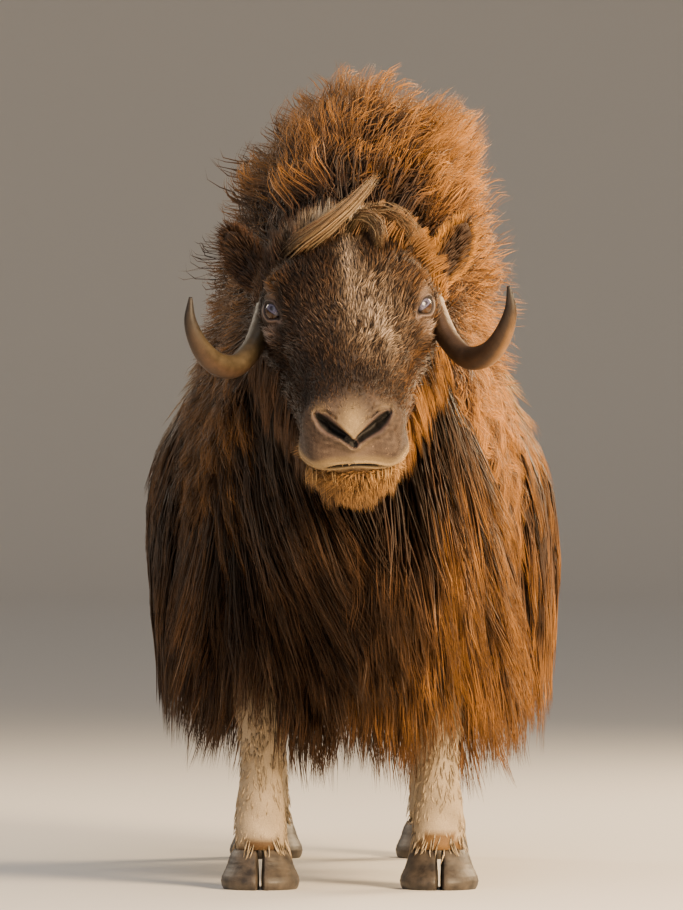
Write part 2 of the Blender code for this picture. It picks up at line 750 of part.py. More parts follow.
def eye_opening(side):
    """A pointed oval plug that opens the lids, in the head's frame."""
    look = Vector(EYE_LOOK).normalized()
    along = (Vector((0, 1, -EYE_SLANT)) - look * look.dot(Vector((0, 1, -EYE_SLANT)))).normalized()
    up = look.cross(along)
    rings = []
    for depth, spread in ((0.0, 0.7), (EYE_RADIUS, 1.0), (2 * EYE_RADIUS, 1.35)):
        centre = EYE_PLACE + look * depth
        ring = []
        for a in np.linspace(0, 2 * math.pi, LID_SIDES, endpoint=False):
            high = LID_HALF_HEIGHT * math.sin(a) * (1 - LID_POINT * abs(math.cos(a)))
            ring.append(centre + along * LID_HALF_LENGTH * math.cos(a) * spread + up * high * spread)
        rings.append([(p.x * side, p.y, p.z) for p in ring])
    return loft("opening", rings)


def nostril(side):
    path = [Vector((x * side, f, h)) for x, f, h in NOSTRIL]
    return loft("nostril", tube_rings(path, NOSTRIL_RADII, 8, NOSTRIL_FLAT, Vector((0, 0.5, 1))))


def mouth_cut():
    """A thin bent wedge along the line of the mouth, deeper inside the head."""
    half = [Vector(p) for p in MOUTH]
    path = half + [Vector((-p.x, p.y, p.z)) for p in reversed(half[:-1])]
    rings = []
    for i, point in enumerate(path):
        inner = Vector((point.x * MOUTH_INNER, point.y - MOUTH_DEPTH, point.z + MOUTH_RISE))
        high = MOUTH_HEIGHT * (0.35 if i in (0, len(path) - 1) else 1.0)
        outer = point + (point - inner).normalized() * MOUTH_DEPTH
        rings.append([outer + Vector((0, 0, high)), outer - Vector((0, 0, high)), inner])
    return loft("mouth", rings)


def philtrum_cut():
    wide, deep = PHILTRUM
    rings = []
    for f, h in ((0.300, -0.036), (0.303, -0.055), (0.303, -0.078)):
        rings.append([(-wide, f, h), (wide, f, h), (0.0, f - deep, h)])
    return loft("philtrum", rings)


def make_head(neighbours):
    head = head_surface()
    boolean(head, [eyeball("lid", side, EYE_RADIUS + LID_THICK) for side in (1, -1)], "UNION")
    cuts = [eye_opening(side) for side in (1, -1)]
    cuts += [nostril(side) for side in (1, -1)]
    cuts += [mouth_cut(), philtrum_cut()]
    boolean(head, cuts, "DIFFERENCE")
    boolean(head, head_locks(), "UNION")
    to_world(head)
    boolean(head, [swollen(piece) for piece in neighbours], "DIFFERENCE")
    return keep_largest(head)


def head_room():
    """The space in the neck that the head stands in, a fit's gap behind its flat back."""
    half, front, bottom, top = HEAD_ROOM
    back = HEAD[0, 0] - GAP
    return to_world(loft("room", [
        [(-half, f, bottom), (half, f, bottom), (half, f, top), (-half, f, top)] for f in (back, front)
    ]))


def smooth_path(rows, count):
    """Points and sizes spread along a smooth curve through the rows."""
    rows = np.asarray(rows, float)
    steps = np.linalg.norm(np.diff(rows[:, :3], axis=0), axis=1)
    along = np.concatenate([[0], np.cumsum(steps)])
    table = np.concatenate([along[:, None], rows], axis=1)
    return smooth_rows(table, np.linspace(0, along[-1], count))


def make_horn(name, side):
    rows = smooth_path(HORN, HORN_RINGS)
    path = [Vector((x * side, y, z)) for x, y, z in rows[:, :3]]
    horn = loft(name, tube_rings(path, rows[:, 3], HORN_SIDES, HORN_FLAT, Vector((0, 1, 0))))
    return roll_piece(horn)


def ear_loft(name, widths, deep, shift, side):
    """Flat oval rings up the ear as a closed skin. shift moves them towards the way the ear opens."""
    axis = EAR_TIP - EAR_ROOT
    facing = Vector(EAR_FACING).normalized()
    facing = (facing - axis * facing.dot(axis) / axis.length_squared).normalized()
    across = axis.cross(facing).normalized()
    rings = []
    for share, wide in widths:
        centre = EAR_ROOT + axis * share + facing * shift
        ring = []
        for a in np.linspace(0, 2 * math.pi, EAR_SIDES, endpoint=False):
            point = centre + across * math.cos(a) * wide * EAR_WIDTH / 2 + facing * math.sin(a) * deep
            ring.append((point.x * side, point.y, point.z))
        rings.append(ring)
    return roll_piece(loft(name, rings))


def ear_blank(name, side):
    """The ear before its cup is cut."""
    return ear_loft(name, EAR_OUTLINE, EAR_CUP / 2, 0.0, side)


def make_ear(name, side):
    """A leaf-shaped ear with its cup turned forward and out."""
    inner = [(share, wide - 2 * EAR_WALL / EAR_WIDTH) for share, wide in EAR_OUTLINE[2:-1]]
    cup = ear_loft("cup", inner, EAR_CUP * 0.7, EAR_CUP * 0.62, side)
    return keep_largest(boolean(ear_blank(name, side), [cup], "DIFFERENCE"))


def make_leg(name, rows, side):
    """A leg with its two dewclaws."""
    path = smooth_path(rows, LEG_RINGS)
    rings = []
    for x, y, z, wide, long in path:
        angles = np.linspace(0, 2 * math.pi, LEG_SIDES, endpoint=False)
        rings.append([(side * (x + wide * math.sin(a)), y + long * math.cos(a), z) for a in angles])
    leg = loft(name, rings)
    foot = rows[-2]
    dewclaws = []
    for way in (1, -1):
        root = Vector((side * (foot[0] + way * 0.5 * foot[3]), foot[1] + 0.4 * DEWCLAW_BACK, DEWCLAW_HEIGHT))
        tip = root + Vector((way * side * 0.004, DEWCLAW_BACK, -0.022))
        radii = (DEWCLAW_RADIUS, DEWCLAW_RADIUS, 0.3 * DEWCLAW_RADIUS)
        dewclaws.append(loft("dewclaw", tube_rings([root, (root + tip) / 2, tip], radii, 6)))
    return boolean(leg, dewclaws, "UNION")


def claw_outline(wide, long, back, count):
    """Outline of a claw seen from above: straight inside, bowed outside, its toe forward."""
    points = []
    for i in range(count):
        a = 2 * math.pi * i / count
        across = math.sin(a)
        x = wide * (across if across > 0 else across * CLAW_INNER)
        y = back - 0.5 * long * math.cos(a) * (1.0 - CLAW_NARROW * max(across, 0.0))
        points.append((x, y))
    return points


def make_claw(name, rows, side, way):
    """One claw of a hoof, flat below and where the leg stands on it. way is 1 for the outer claw."""
    foot = Vector((rows[-1][0] * side, rows[-1][1], 0))
    rings = []
    for z, share, back in CLAW_LEVELS:
        outline = claw_outline(CLAW_WIDTH * share, CLAW_LENGTH * share, back - CLAW_FORWARD, CLAW_SIDES)
        rings.append([
            (foot.x + side * way * (CLAW_APART / 2 + CLAW_WIDTH * CLAW_INNER + x), foot.y + y, z)
            for x, y in outline
        ])
    return loft(name, rings)


def make_tail(name):
    share = np.linspace(0, 1, TAIL_RINGS)
    path = [TAIL_ROOT + Vector((0, 0.055 * math.sin(1.6 * s), -TAIL_LENGTH * s)) for s in share]
    radii = TAIL_RADIUS * (1 - 0.65 * share)
    return loft(name, tube_rings(path, radii, TAIL_SIDES))


def finish(made, colour, roughness):
    """Gives a node its own material and the shading of its kind."""
    material = bpy.data.materials.new(made.name)
    material.use_nodes = True
    shader = material.node_tree.nodes["Principled BSDF"]
    shader.inputs["Base Color"].default_value = (*colour, 1)
    shader.inputs["Roughness"].default_value = roughness
    shader.inputs["Metallic"].default_value = 0.0
    made.data.materials.clear()
    made.data.materials.append(material)
    made.data.shade_smooth()
    made.data.set_sharp_from_angle(angle=SHARP_EDGE)


def set_origin(pieces):
    """Moves all pieces alike, so the origin is on the floor under the middle of the model."""
    points = np.array([tuple(v.co) for piece in pieces for v in piece.data.vertices])
    low, high = points.min(axis=0), points.max(axis=0)
    shift = Vector((-(low[0] + high[0]) / 2, -(low[1] + high[1]) / 2, 0))
    for piece in pieces:
        for vertex in piece.data.vertices:
            vertex.co += shift
        piece.data.update()


def main():
    clear_scene()
    horns = [make_horn("horn_left", 1), make_horn("horn_right", -1)]
    ears = [make_ear("ear_left", 1), make_ear("ear_right", -1)]
    eyes = [to_world(eyeball("eye_left", 1, EYE_RADIUS)), to_world(eyeball("eye_right", -1, EYE_RADIUS))]
    for ear, horn in zip(ears, horns):
        boolean(ear, [swollen(horn)], "DIFFERENCE")
        keep_largest(ear)
    blanks = [ear_blank("ear_room", 1), ear_blank("ear_room", -1)]
    head = make_head(horns + blanks + eyes)
    legs = []
    claws = []
    for end, rows in (("front", FRONT_LEG), ("hind", HIND_LEG)):
        for label, side in (("left", 1), ("right", -1)):
            leg = make_leg(f"leg_{end}_{label}", rows, side)
            legs.append(leg)
            for claw, way in (("outer", 1), ("inner", -1)):
                claws.append(make_claw(f"hoof_{end}_{label}_{claw}", rows, side, way))
    tail = make_tail("tail")
    chance = random.Random(SEED)
    locks = tier_locks(chance) + spine_locks(chance) + rump_locks(chance) + mane_locks(chance)
    locks += bib_locks(chance)
    trunk = []
    ends = [TRUNK[0, 0], NECK_CUT, SHOULDER_CUT, RUMP_CUT, TRUNK[-1, 0]]
    for name, start, end in zip(TRUNK_NAMES, ends[:-1], ends[1:]):
        piece = trunk_piece(name, start + GAP / 2, end - GAP / 2)
        boolean(piece, [lock for y, lock in locks if start < y <= end], "UNION")
        boolean(piece, [slab(name, start, end)], "INTERSECT")
        near = [swollen(other) for other in (horns + blanks if name == "neck" else legs + [tail])]
        if name == "neck":
            near.append(head_room())
        boolean(piece, near, "DIFFERENCE")
        trunk.append(keep_largest(piece))
    for blank in blanks:
        bpy.data.objects.remove(blank)
    for piece in trunk:
        finish(piece, COAT_COLOUR, 0.9)
    for piece in [head, tail] + ears:
        finish(piece, FACE_COLOUR, 0.85)
    for piece in legs:
        finish(piece, LEG_COLOUR, 0.85)
    for piece in horns:
        finish(piece, HORN_COLOUR, 0.45)
    for piece in claws:
        finish(piece, HOOF_COLOUR, 0.55)
    for piece in eyes:
        finish(piece, EYE_COLOUR, 0.08)
    set_origin(trunk + [head, tail] + ears + legs + horns + claws + eyes)


if __name__ == "__main__":
    main()
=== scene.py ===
"""The looks of a life-size muskox cow: one skin under a coat of meshed hair, with horns, eyes and hooves.

Lengths are in metres. Shapes are worked out where the animal was designed, facing -Y with her left side
at +X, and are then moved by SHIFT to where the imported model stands.
"""

import math
from functools import partial

import bmesh
import bpy
import numpy as np
from mathutils import Matrix, Vector
from mathutils.kdtree import KDTree


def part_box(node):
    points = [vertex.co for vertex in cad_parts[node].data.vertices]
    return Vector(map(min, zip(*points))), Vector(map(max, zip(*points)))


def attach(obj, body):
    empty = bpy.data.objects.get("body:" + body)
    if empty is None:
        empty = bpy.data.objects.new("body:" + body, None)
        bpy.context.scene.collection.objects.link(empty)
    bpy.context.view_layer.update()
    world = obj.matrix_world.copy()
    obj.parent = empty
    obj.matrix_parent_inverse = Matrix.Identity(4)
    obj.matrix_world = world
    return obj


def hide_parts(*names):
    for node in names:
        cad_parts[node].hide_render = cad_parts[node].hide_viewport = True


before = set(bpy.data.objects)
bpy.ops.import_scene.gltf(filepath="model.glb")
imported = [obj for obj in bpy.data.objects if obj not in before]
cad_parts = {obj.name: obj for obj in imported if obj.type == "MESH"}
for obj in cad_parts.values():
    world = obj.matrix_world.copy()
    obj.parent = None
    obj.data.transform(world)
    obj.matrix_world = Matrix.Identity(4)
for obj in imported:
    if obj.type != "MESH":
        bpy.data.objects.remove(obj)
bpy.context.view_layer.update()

# Trunk under the coat: (y, top, bottom, half width, height of the widest line)
TRUNK = np.array([
    (-0.755, 0.930, 0.830, 0.040, 0.880),
    (-0.735, 0.970, 0.780, 0.090, 0.870),
    (-0.690, 1.005, 0.730, 0.120, 0.850),
    (-0.600, 1.055, 0.655, 0.142, 0.800),
    (-0.490, 1.115, 0.560, 0.160, 0.710),
    (-0.360, 1.155, 0.490, 0.186, 0.630),
    (-0.220, 1.155, 0.465, 0.212, 0.610),
    (-0.020, 1.095, 0.450, 0.236, 0.610),
    (0.220, 1.050, 0.440, 0.256, 0.620),
    (0.450, 1.030, 0.460, 0.252, 0.640),
    (0.650, 1.000, 0.500, 0.226, 0.680),
    (0.800, 0.930, 0.560, 0.172, 0.720),
    (0.880, 0.860, 0.640, 0.105, 0.745),
    (0.905, 0.800, 0.710, 0.040, 0.755),
])
TRUNK_ROUND = (1.45, 2.2)

# Dense part of the coat over the trunk: (y, depth on top, depth on the sides, depth below)
COAT_DEPTH = np.array([
    (-0.755, 0.004, 0.004, 0.004),
    (-0.690, 0.016, 0.020, 0.014),
    (-0.560, 0.040, 0.036, 0.026),
    (-0.360, 0.060, 0.044, 0.030),
    (-0.150, 0.045, 0.046, 0.030),
    (0.100, 0.024, 0.046, 0.028),
    (0.650, 0.022, 0.044, 0.028),
    (0.905, 0.016, 0.016, 0.016),
])

# Head in its own frame: x to her left, f forward along the face, h up from the face
# (f, top, bottom, half width, height of the widest line)
HEAD_PITCH = math.radians(40.0)
HEAD_ROLL = math.radians(2.0)
EYE_MIDDLE = np.array((-0.002, -0.800, 0.914))
FORWARD = np.array((0.0, -math.cos(HEAD_PITCH), -math.sin(HEAD_PITCH)))
UPWARD = np.array((0.0, -math.sin(HEAD_PITCH), math.cos(HEAD_PITCH)))
HEAD = np.array([
    (-0.150, 0.050, -0.205, 0.112, -0.070),
    (-0.090, 0.070, -0.228, 0.124, -0.055),
    (-0.030, 0.074, -0.228, 0.125, -0.040),
    (0.015, 0.070, -0.218, 0.117, -0.036),
    (0.070, 0.058, -0.198, 0.101, -0.050),
    (0.125, 0.046, -0.182, 0.087, -0.066),
    (0.180, 0.034, -0.170, 0.078, -0.074),
    (0.225, 0.022, -0.154, 0.077, -0.074),
    (0.256, 0.006, -0.138, 0.073, -0.070),
    (0.276, -0.014, -0.118, 0.060, -0.064),
    (0.286, -0.034, -0.098, 0.038, -0.060),
    (0.290, -0.058, -0.066, 0.004, -0.062),
])
HEAD_ROUND = (2.3, 1.9)

# Pushes on the head's surface: (x, f, h), radius, (push x, push f, push h), mirrored where x is not 0
STROKES = [
    ((0.112, 0.000, -0.002), 0.036, (0.017, 0.000, 0.000)),
    ((0.104, -0.012, 0.036), 0.026, (0.007, 0.000, 0.010)),
    ((0.104, 0.042, -0.028), 0.018, (0.006, 0.000, 0.000)),
    ((0.096, -0.080, -0.120), 0.070, (0.014, 0.000, 0.000)),
    ((0.056, 0.240, -0.020), 0.024, (0.011, 0.006, 0.008)),
    ((0.048, 0.268, -0.062), 0.024, (0.009, 0.008, 0.000)),
    ((0.000, 0.290, -0.050), 0.022, (0.000, 0.005, 0.000)),
    ((0.078, 0.240, -0.078), 0.024, (0.007, 0.002, 0.000)),
    ((0.000, 0.290, -0.100), 0.026, (0.000, -0.010, 0.000)),
    ((0.046, 0.276, -0.106), 0.026, (-0.003, -0.010, 0.000)),
    ((0.080, 0.236, -0.118), 0.026, (-0.010, -0.002, 0.000)),
    ((0.040, 0.264, -0.004), 0.010, (0.000, 0.003, 0.002)),
    ((0.000, 0.276, -0.022), 0.022, (0.000, 0.006, 0.004)),
    ((0.000, 0.250, -0.128), 0.030, (0.000, 0.008, -0.010)),
    ((0.000, -0.020, 0.070), 0.060, (0.000, 0.000, 0.010)),
    ((0.000, 0.080, 0.056), 0.040, (0.000, 0.000, -0.006)),
    ((0.078, 0.085, -0.040), 0.030, (-0.006, 0.000, -0.002)),
    ((0.040, 0.150, 0.030), 0.034, (-0.003, 0.000, -0.004)),
]

# Eye, in the head's frame
EYE_PLACE = np.array((0.1065, 0.000, -0.002))
EYE_RADIUS = 0.0215
EYE_LOOK = (0.62, 0.60, 0.50)
EYE_ALONG = (-0.66, 0.74, -0.10)
LID_HALF_LENGTH = 0.94
LID_HALF_HEIGHT = 0.62
LID_POINT = 0.42
UPPER_SHARE = 0.80
LID_STEPS = (0.0, 0.86, 0.97, 1.08, 1.25, 1.42, 1.60, 1.90, 2.20)
UPPER_LID = (-0.0060, -0.0050, 0.0010, 0.0046, 0.0052, 0.0030, 0.0052, 0.0105, 0.0100)
LOWER_LID = (-0.0060, -0.0050, 0.0008, 0.0034, 0.0044, 0.0036, 0.0036, 0.0050, 0.0060)
LID_REACH = (1.90, 2.50)
SOCKET_REACH = (0.036, 0.050)
LID_FADE = 0.027

# Nose and mouth, in the head's frame
NOSTRIL = [(0.054, 0.256, 0.000), (0.046, 0.266, -0.004), (0.037, 0.274, -0.009), (0.016, 0.286, -0.018),
           (0.000, 0.292, -0.029)]
NOSTRIL_WIDTH = (0.0048, 0.0086, 0.0090, 0.0062, 0.0050)
NOSTRIL_DEPTH = 0.019
NOSTRIL_RIM = 0.0020
ALAR = [(0.061, 0.254, -0.008), (0.056, 0.247, 0.003), (0.041, 0.251, 0.006), (0.026, 0.264, 0.002)]
ALAR_WIDTH = 0.0024
ALAR_DEPTH = 0.0042
ALAR_RIM = 0.0010
MOUTH = [(0.096, 0.150, -0.112), (0.087, 0.190, -0.102), (0.082, 0.232, -0.090), (0.060, 0.270, -0.081),
         (0.028, 0.288, -0.074), (0.000, 0.294, -0.069)]
MOUTH_LINE = MOUTH + [(-x, f, h) for x, f, h in reversed(MOUTH[:-1])]
MOUTH_WIDTH = 0.0040
MOUTH_DEPTH = 0.0125
LIP_ROLL = 0.0030
PHILTRUM = [(0.000, 0.300, -0.036), (0.000, 0.302, -0.055), (0.000, 0.296, -0.070)]
PHILTRUM_WIDTH = 0.0024
PHILTRUM_DEPTH = 0.0035
PHILTRUM_RIM = 0.0005

# Horn of her left side, before the head's roll: (x, y, z), radius
HORN = np.array([
    (0.052, -0.712, 1.012, 0.0260),
    (0.088, -0.706, 0.994, 0.0280),
    (0.114, -0.714, 0.954, 0.0255),
    (0.131, -0.738, 0.906, 0.0220),
    (0.150, -0.776, 0.860, 0.0205),
    (0.180, -0.826, 0.830, 0.0200),
    (0.211, -0.870, 0.838, 0.0178),
    (0.233, -0.902, 0.868, 0.0142),
    (0.243, -0.919, 0.902, 0.0095),
    (0.241, -0.925, 0.936, 0.0030),
])
HORN_FLAT = 0.82

# Ear of her left side, before the head's roll: (share of the length, share of the width)
EAR_ROOT = np.array((0.128, -0.700, 0.940))
EAR_TIP = np.array((0.186, -0.668, 1.040))
EAR_WIDTH = 0.060
EAR_CUP = 0.020
EAR_FACING = (0.45, -0.85, 0.0)
EAR_OUTLINE = np.array([
    (-0.10, 0.42), (0.05, 0.48), (0.20, 0.72), (0.40, 0.97), (0.58, 1.0), (0.76, 0.82), (0.90, 0.52),
    (1.0, 0.10),
])

# Legs of her left side: (x, y, z, half width, half length)
FRONT_LEG = np.array([
    (0.135, -0.330, 0.590, 0.070, 0.095),
    (0.138, -0.330, 0.480, 0.060, 0.076),
    (0.140, -0.325, 0.390, 0.050, 0.058),
    (0.141, -0.322, 0.290, 0.043, 0.047),
    (0.141, -0.316, 0.200, 0.035, 0.037),
    (0.142, -0.320, 0.118, 0.043, 0.044),
    (0.142, -0.330, 0.082, 0.044, 0.044),
    (0.142, -0.334, 0.0624, 0.043, 0.043),
])
HIND_LEG = np.array([
    (0.128, 0.600, 0.640, 0.080, 0.130),
    (0.136, 0.615, 0.520, 0.070, 0.098),
    (0.140, 0.645, 0.420, 0.052, 0.066),
    (0.142, 0.676, 0.335, 0.042, 0.054),
    (0.142, 0.668, 0.220, 0.035, 0.040),
    (0.142, 0.652, 0.118, 0.042, 0.044),
    (0.142, 0.638, 0.082, 0.043, 0.044),
    (0.142, 0.634, 0.0624, 0.042, 0.042),
])
LEG_FUR = 0.004
FLESH = ("head", "neck", "torso", "tail", "ear", "leg")
DEWCLAW_RADIUS = 0.013
DEWCLAW_HEIGHT = 0.088
DEWCLAW_BACK = 0.043

# Claws of the hooves
CLAW_LENGTH = 0.118
CLAW_WIDTH = 0.054
CLAW_HEIGHT = 0.0620
CLAW_APART = 0.003
CLAW_FORWARD = 0.016
CLAW_INNER = 0.12
CLAW_NARROW = 0.10
CLAW_RINGED = (3, 22)
CLAW_LEVELS = np.array([
    (0.0, 0.925, 0.0), (0.002, 0.95, 0.0), (0.009, 1.0, 0.0), (0.037, 0.84, 0.010), (0.058, 0.69, 0.017),
    (CLAW_HEIGHT, 0.64, 0.018),
])

# Tail
TAIL_ROOT = np.array((0.0, 0.890, 0.835))
TAIL_LENGTH = 0.150
TAIL_RADIUS = 0.026
TAIL_BEND = 0.055

# How the photo sees her: metres to a pixel at the eyes, its size in pixels, the column of the face's middle,
# the row of the ground under her, and how far away and how wide the camera and its sensor are
PIXEL = 0.00153
FRAME_WIDE = 683
FRAME_HIGH = 910
FACE_COLUMN = 350.0
GROUND_ROW = 905.0
CAMERA_AWAY = 12.0
SENSOR = 36.0

# Stage: a round floor that bends up into a wall
STAGE_INNER = (0.5, 6.0)
STAGE_RADIUS = 30.0
STAGE_BEND = 5.0
STAGE_HEIGHT = 16.0
STAGE_SIDES = 96
FLOOR_COLOUR = (0.74, 0.70, 0.65)
SKY_COLOUR = (0.86, 0.84, 0.82, 1)
SKY_STRENGTH = 0.36

# Lights: (name, place, target, size, power, colour)
LIGHTS = (
    ("key", (3.6, -4.4, 2.6), (0.0, -0.5, 0.8), 2.2, 1250, (1.0, 0.73, 0.43)),
    ("fill", (-4.0, -5.0, 2.2), (0.0, -0.5, 0.7), 3.5, 55, (0.90, 0.93, 1.0)),
    ("rim", (3.4, 3.4, 3.0), (0.0, -0.3, 0.9), 2.0, 460, (1.0, 0.74, 0.44)),
    ("rim_left", (-3.4, 3.4, 3.0), (0.0, -0.3, 0.9), 2.0, 90, (1.0, 0.86, 0.68)),
    ("top", (0.0, -2.6, 4.2), (0.0, -0.4, 0.8), 3.0, 70, (0.94, 0.94, 1.0)),
)

# How finely the forms are made
HEAD_RINGS = 150
HEAD_SIDES = 190
TRUNK_RINGS = 90
TRUNK_SIDES = 72
LEG_RINGS = 48
LEG_SIDES = 32
EAR_RINGS = 40
EAR_SIDES = 40
HORN_RINGS = 150
HORN_SIDES = 40
CLAW_SIDES = 48
STEP = 0.004

# Hair
SEED = 11
DOWN = np.array((0.0, 0.04, -1.0))
BACK = np.array((0.0, 1.0, 0.0))
WIND = np.array((1.0, 0.0, 0.0))

# Shares of a long strand's length where it bends, and how many even bends its turning is meant for
TURN_STEPS = 6
EVEN_STEPS = np.array((0.0, 0.20, 0.42, 0.64, 0.83, 1.0))
CURLY_STEPS = np.array((0.0, 0.26, 0.44, 0.57, 0.69, 0.80, 0.90, 1.0))

# Waves of the curly and of the straight long hair: (least and greatest length, least and greatest size)
CRIMP = ((0.085, 0.135), (0.009, 0.018))
WAVE = ((0.120, 0.240), (0.003, 0.009))

# The mane at an angle from the top: (degrees, length, how far it stands, rises, is blown over and hangs)
MANE = np.array([
    (-180, 0.30, 0.35, 0.00, 0.00, 1.00),
    (-100, 0.35, 0.35, 0.00, 0.00, 1.00),
    (-74, 0.30, 0.30, 0.00, 0.00, 1.00),
    (-60, 0.22, 0.26, 0.00, 0.00, 0.86),
    (-46, 0.17, 0.44, 0.10, 0.05, 0.42),
    (-28, 0.20, 0.75, 0.33, 0.12, 0.02),
    (-8, 0.19, 0.80, 0.35, 0.45, 0.00),
    (15, 0.21, 0.70, 0.50, 0.60, 0.00),
    (34, 0.20, 0.58, 0.64, 0.29, 0.03),
    (50, 0.14, 0.36, 0.14, 0.10, 0.46),
    (66, 0.23, 0.17, 0.00, 0.00, 0.92),
    (82, 0.31, 0.36, 0.00, 0.00, 1.00),
    (100, 0.36, 0.40, 0.00, 0.00, 1.00),
    (180, 0.30, 0.35, 0.00, 0.00, 1.00),
])
MANE_BACK = 0.50
MANE_ENDS = (-0.20, -0.06)
CREST = 1.15

# The body's hair by angle from the top: (degrees, length, how far it stands), and (degrees, its ends' lift)
BODY = np.array([
    (0, 0.15, 0.40), (20, 0.21, 0.55), (45, 0.28, 0.72), (70, 0.34, 0.80), (98, 0.38, 0.70),
    (125, 0.31, 0.50),
    (150, 0.16, 0.40), (180, 0.12, 0.40),
])
BODY_LIFT = np.array([(0, 0.022), (20, 0.030), (45, 0.050), (72, 0.074), (98, 0.084), (180, 0.020)])
BODY_NEAR = 0.042

# How wide the coat reaches on her right and left, over what distance it is eased in, and its narrower hem
COAT_REACH = (0.364, 0.390)
COAT_EASE = 0.045
HEM_TOP = 0.56
HEM_DEEP = 0.24
HEM_DRAWN_IN = 0.034

# The face's hair and the long hair under the jaw: (f, length)
FACE_LENGTH = np.array([
    (-0.15, 0.040), (-0.10, 0.034), (-0.02, 0.026), (0.06, 0.021), (0.14, 0.018), (0.20, 0.014),
    (0.24, 0.007),
    (0.29, 0.0045),
])
JAW_LENGTH = np.array([
    (-0.15, 0.115), (0.0, 0.105), (0.12, 0.085), (0.20, 0.060), (0.25, 0.044), (0.275, 0.026),
])
CROWN_LENGTH = 0.046

# Where the sides of the head shape what hangs by them: the range of f, and how far out
HEAD_SPAN = (-0.150, 0.27)
HEAD_REACH = 0.16

# Share of the horn's length that fur covers, and the lowest hair over the hooves
BOSS_SHARE = 0.31
BOSS_STEPS = 60
FRINGE_LOWEST = 0.030

# Locks of the forelock, in the head's frame: (route, spread, share of the strands)
FORELOCK = [
    (((-0.085, -0.088, 0.030), (-0.066, -0.060, 0.082), (-0.022, -0.070, 0.112), (0.020, -0.098, 0.134),
      (0.050, -0.138, 0.146)), 0.019, 0.50),
    (((0.006, -0.088, 0.070), (0.034, -0.086, 0.118), (0.050, -0.076, 0.110), (0.056, -0.050, 0.098),
      (0.056, -0.032, 0.088)), 0.012, 0.22),
    (((0.010, -0.120, 0.050), (0.044, -0.125, 0.095), (0.080, -0.115, 0.098), (0.106, -0.095, 0.084),
      (0.122, -0.070, 0.060)), 0.016, 0.12),
]

# Strands of the pieces of short hair, and how wide each is
FACE_FUR = (("face_fur", 12500, 0.0022), ("face_fur_fine", 12500, 0.0017))
LEG_FUR_STRANDS = (6400, 0.0034)
EAR_FUR_STRANDS = (1400, 0.0022)
HEAD_HAIR_STRANDS = (5600, 0.0032)
BOSS_FUR_STRANDS = (3600, 0.0024)
FORELOCK_STRANDS = (560, 0.0019)
PALE_STRANDS = 0.04

# Side of each strand's patch of the bake map, and the room for the roots' places beside it
PATCH = 0.003
PATCH_ROOM = 0.993
PATCH_EDGE = 0.002


def unit(v):
    return v / np.maximum(np.linalg.norm(v, axis=-1, keepdims=True), 1e-12)


def ease(x, low, high):
    """0 below low, 1 above high, and smooth between."""
    t = np.clip((x - low) / (high - low), 0, 1)
    return t * t * (3 - 2 * t)


def smooth_rows(table, at):
    """The table's other columns at these values of its first one, on a smooth curve through the rows."""
    knots = table[:, 0]
    at = np.clip(np.asarray(at, float), knots[0], knots[-1])
    place = np.clip(np.searchsorted(knots, at, side="right") - 1, 0, len(knots) - 2)
    slopes = np.gradient(table[:, 1:], knots, axis=0)
    width = (knots[place + 1] - knots[place])[..., None]
    t = (at - knots[place])[..., None] / width
    low, high = table[place, 1:], table[place + 1, 1:]
    smooth = t * t * (3 - 2 * t)
    bend = t * (1 - t) * ((1 - t) * slopes[place] - t * slopes[place + 1]) * width
    return low + (high - low) * smooth + bend


def columns_at(table, at):
    """The same, as one array for each column."""
    return np.moveaxis(smooth_rows(table, at), -1, 0)


def read(table, at):
    """The second column of a table of pairs, straight between its rows."""
    return np.interp(at, table[:, 0], table[:, 1])


def along_rows(rows, columns):
    """The rows with the distance run along these columns put before them."""
    steps = np.linalg.norm(np.diff(rows[:, columns], axis=0), axis=1)
    run = np.concatenate([[0], np.cumsum(steps)])
    return np.concatenate([run[:, None], rows], axis=1)


def spread(rows, count, columns=slice(0, 3)):
    """Rows spread evenly along a smooth curve through the given ones."""
    table = along_rows(np.asarray(rows, float), columns)
    return smooth_rows(table, np.linspace(0, table[-1, 0], count))


def turn(count):
    """Angles evenly round a full turn."""
    return np.linspace(0, 2 * math.pi, count, endpoint=False)


def section(half, up, down, rounds, angles):
    """Points (across, height) round a section. Angle 0 is its top and half a turn its bottom."""
    side, height = np.sin(angles), np.cos(angles)
    power = np.where(height >= 0, 2 / rounds[0], 2 / rounds[1])
    reach = np.where(height >= 0, up, down)
    return half * np.sign(side) * np.abs(side) ** power, reach * np.sign(height) * np.abs(height) ** power


def trunk_point(y, angle, coat):
    """Point of the trunk at station y and this angle from the top: coat 0 is the skin, 1 the dense coat."""
    y, angle = np.broadcast_arrays(np.asarray(y, float), np.asarray(angle, float))
    top, bottom, half, wide = columns_at(TRUNK, y)
    on_top, on_side, below = columns_at(COAT_DEPTH, y) * coat
    across, height = section(half + on_side, top - wide + on_top, wide - bottom + below, TRUNK_ROUND, angle)
    return np.stack([across, y, wide + height], axis=-1)


def trunk_out(y, angle):
    """The way square out of the trunk."""
    along = trunk_point(y + STEP, angle, 1) - trunk_point(y - STEP, angle, 1)
    around = trunk_point(y, angle + STEP, 1) - trunk_point(y, angle - STEP, 1)
    return unit(np.cross(around, along))


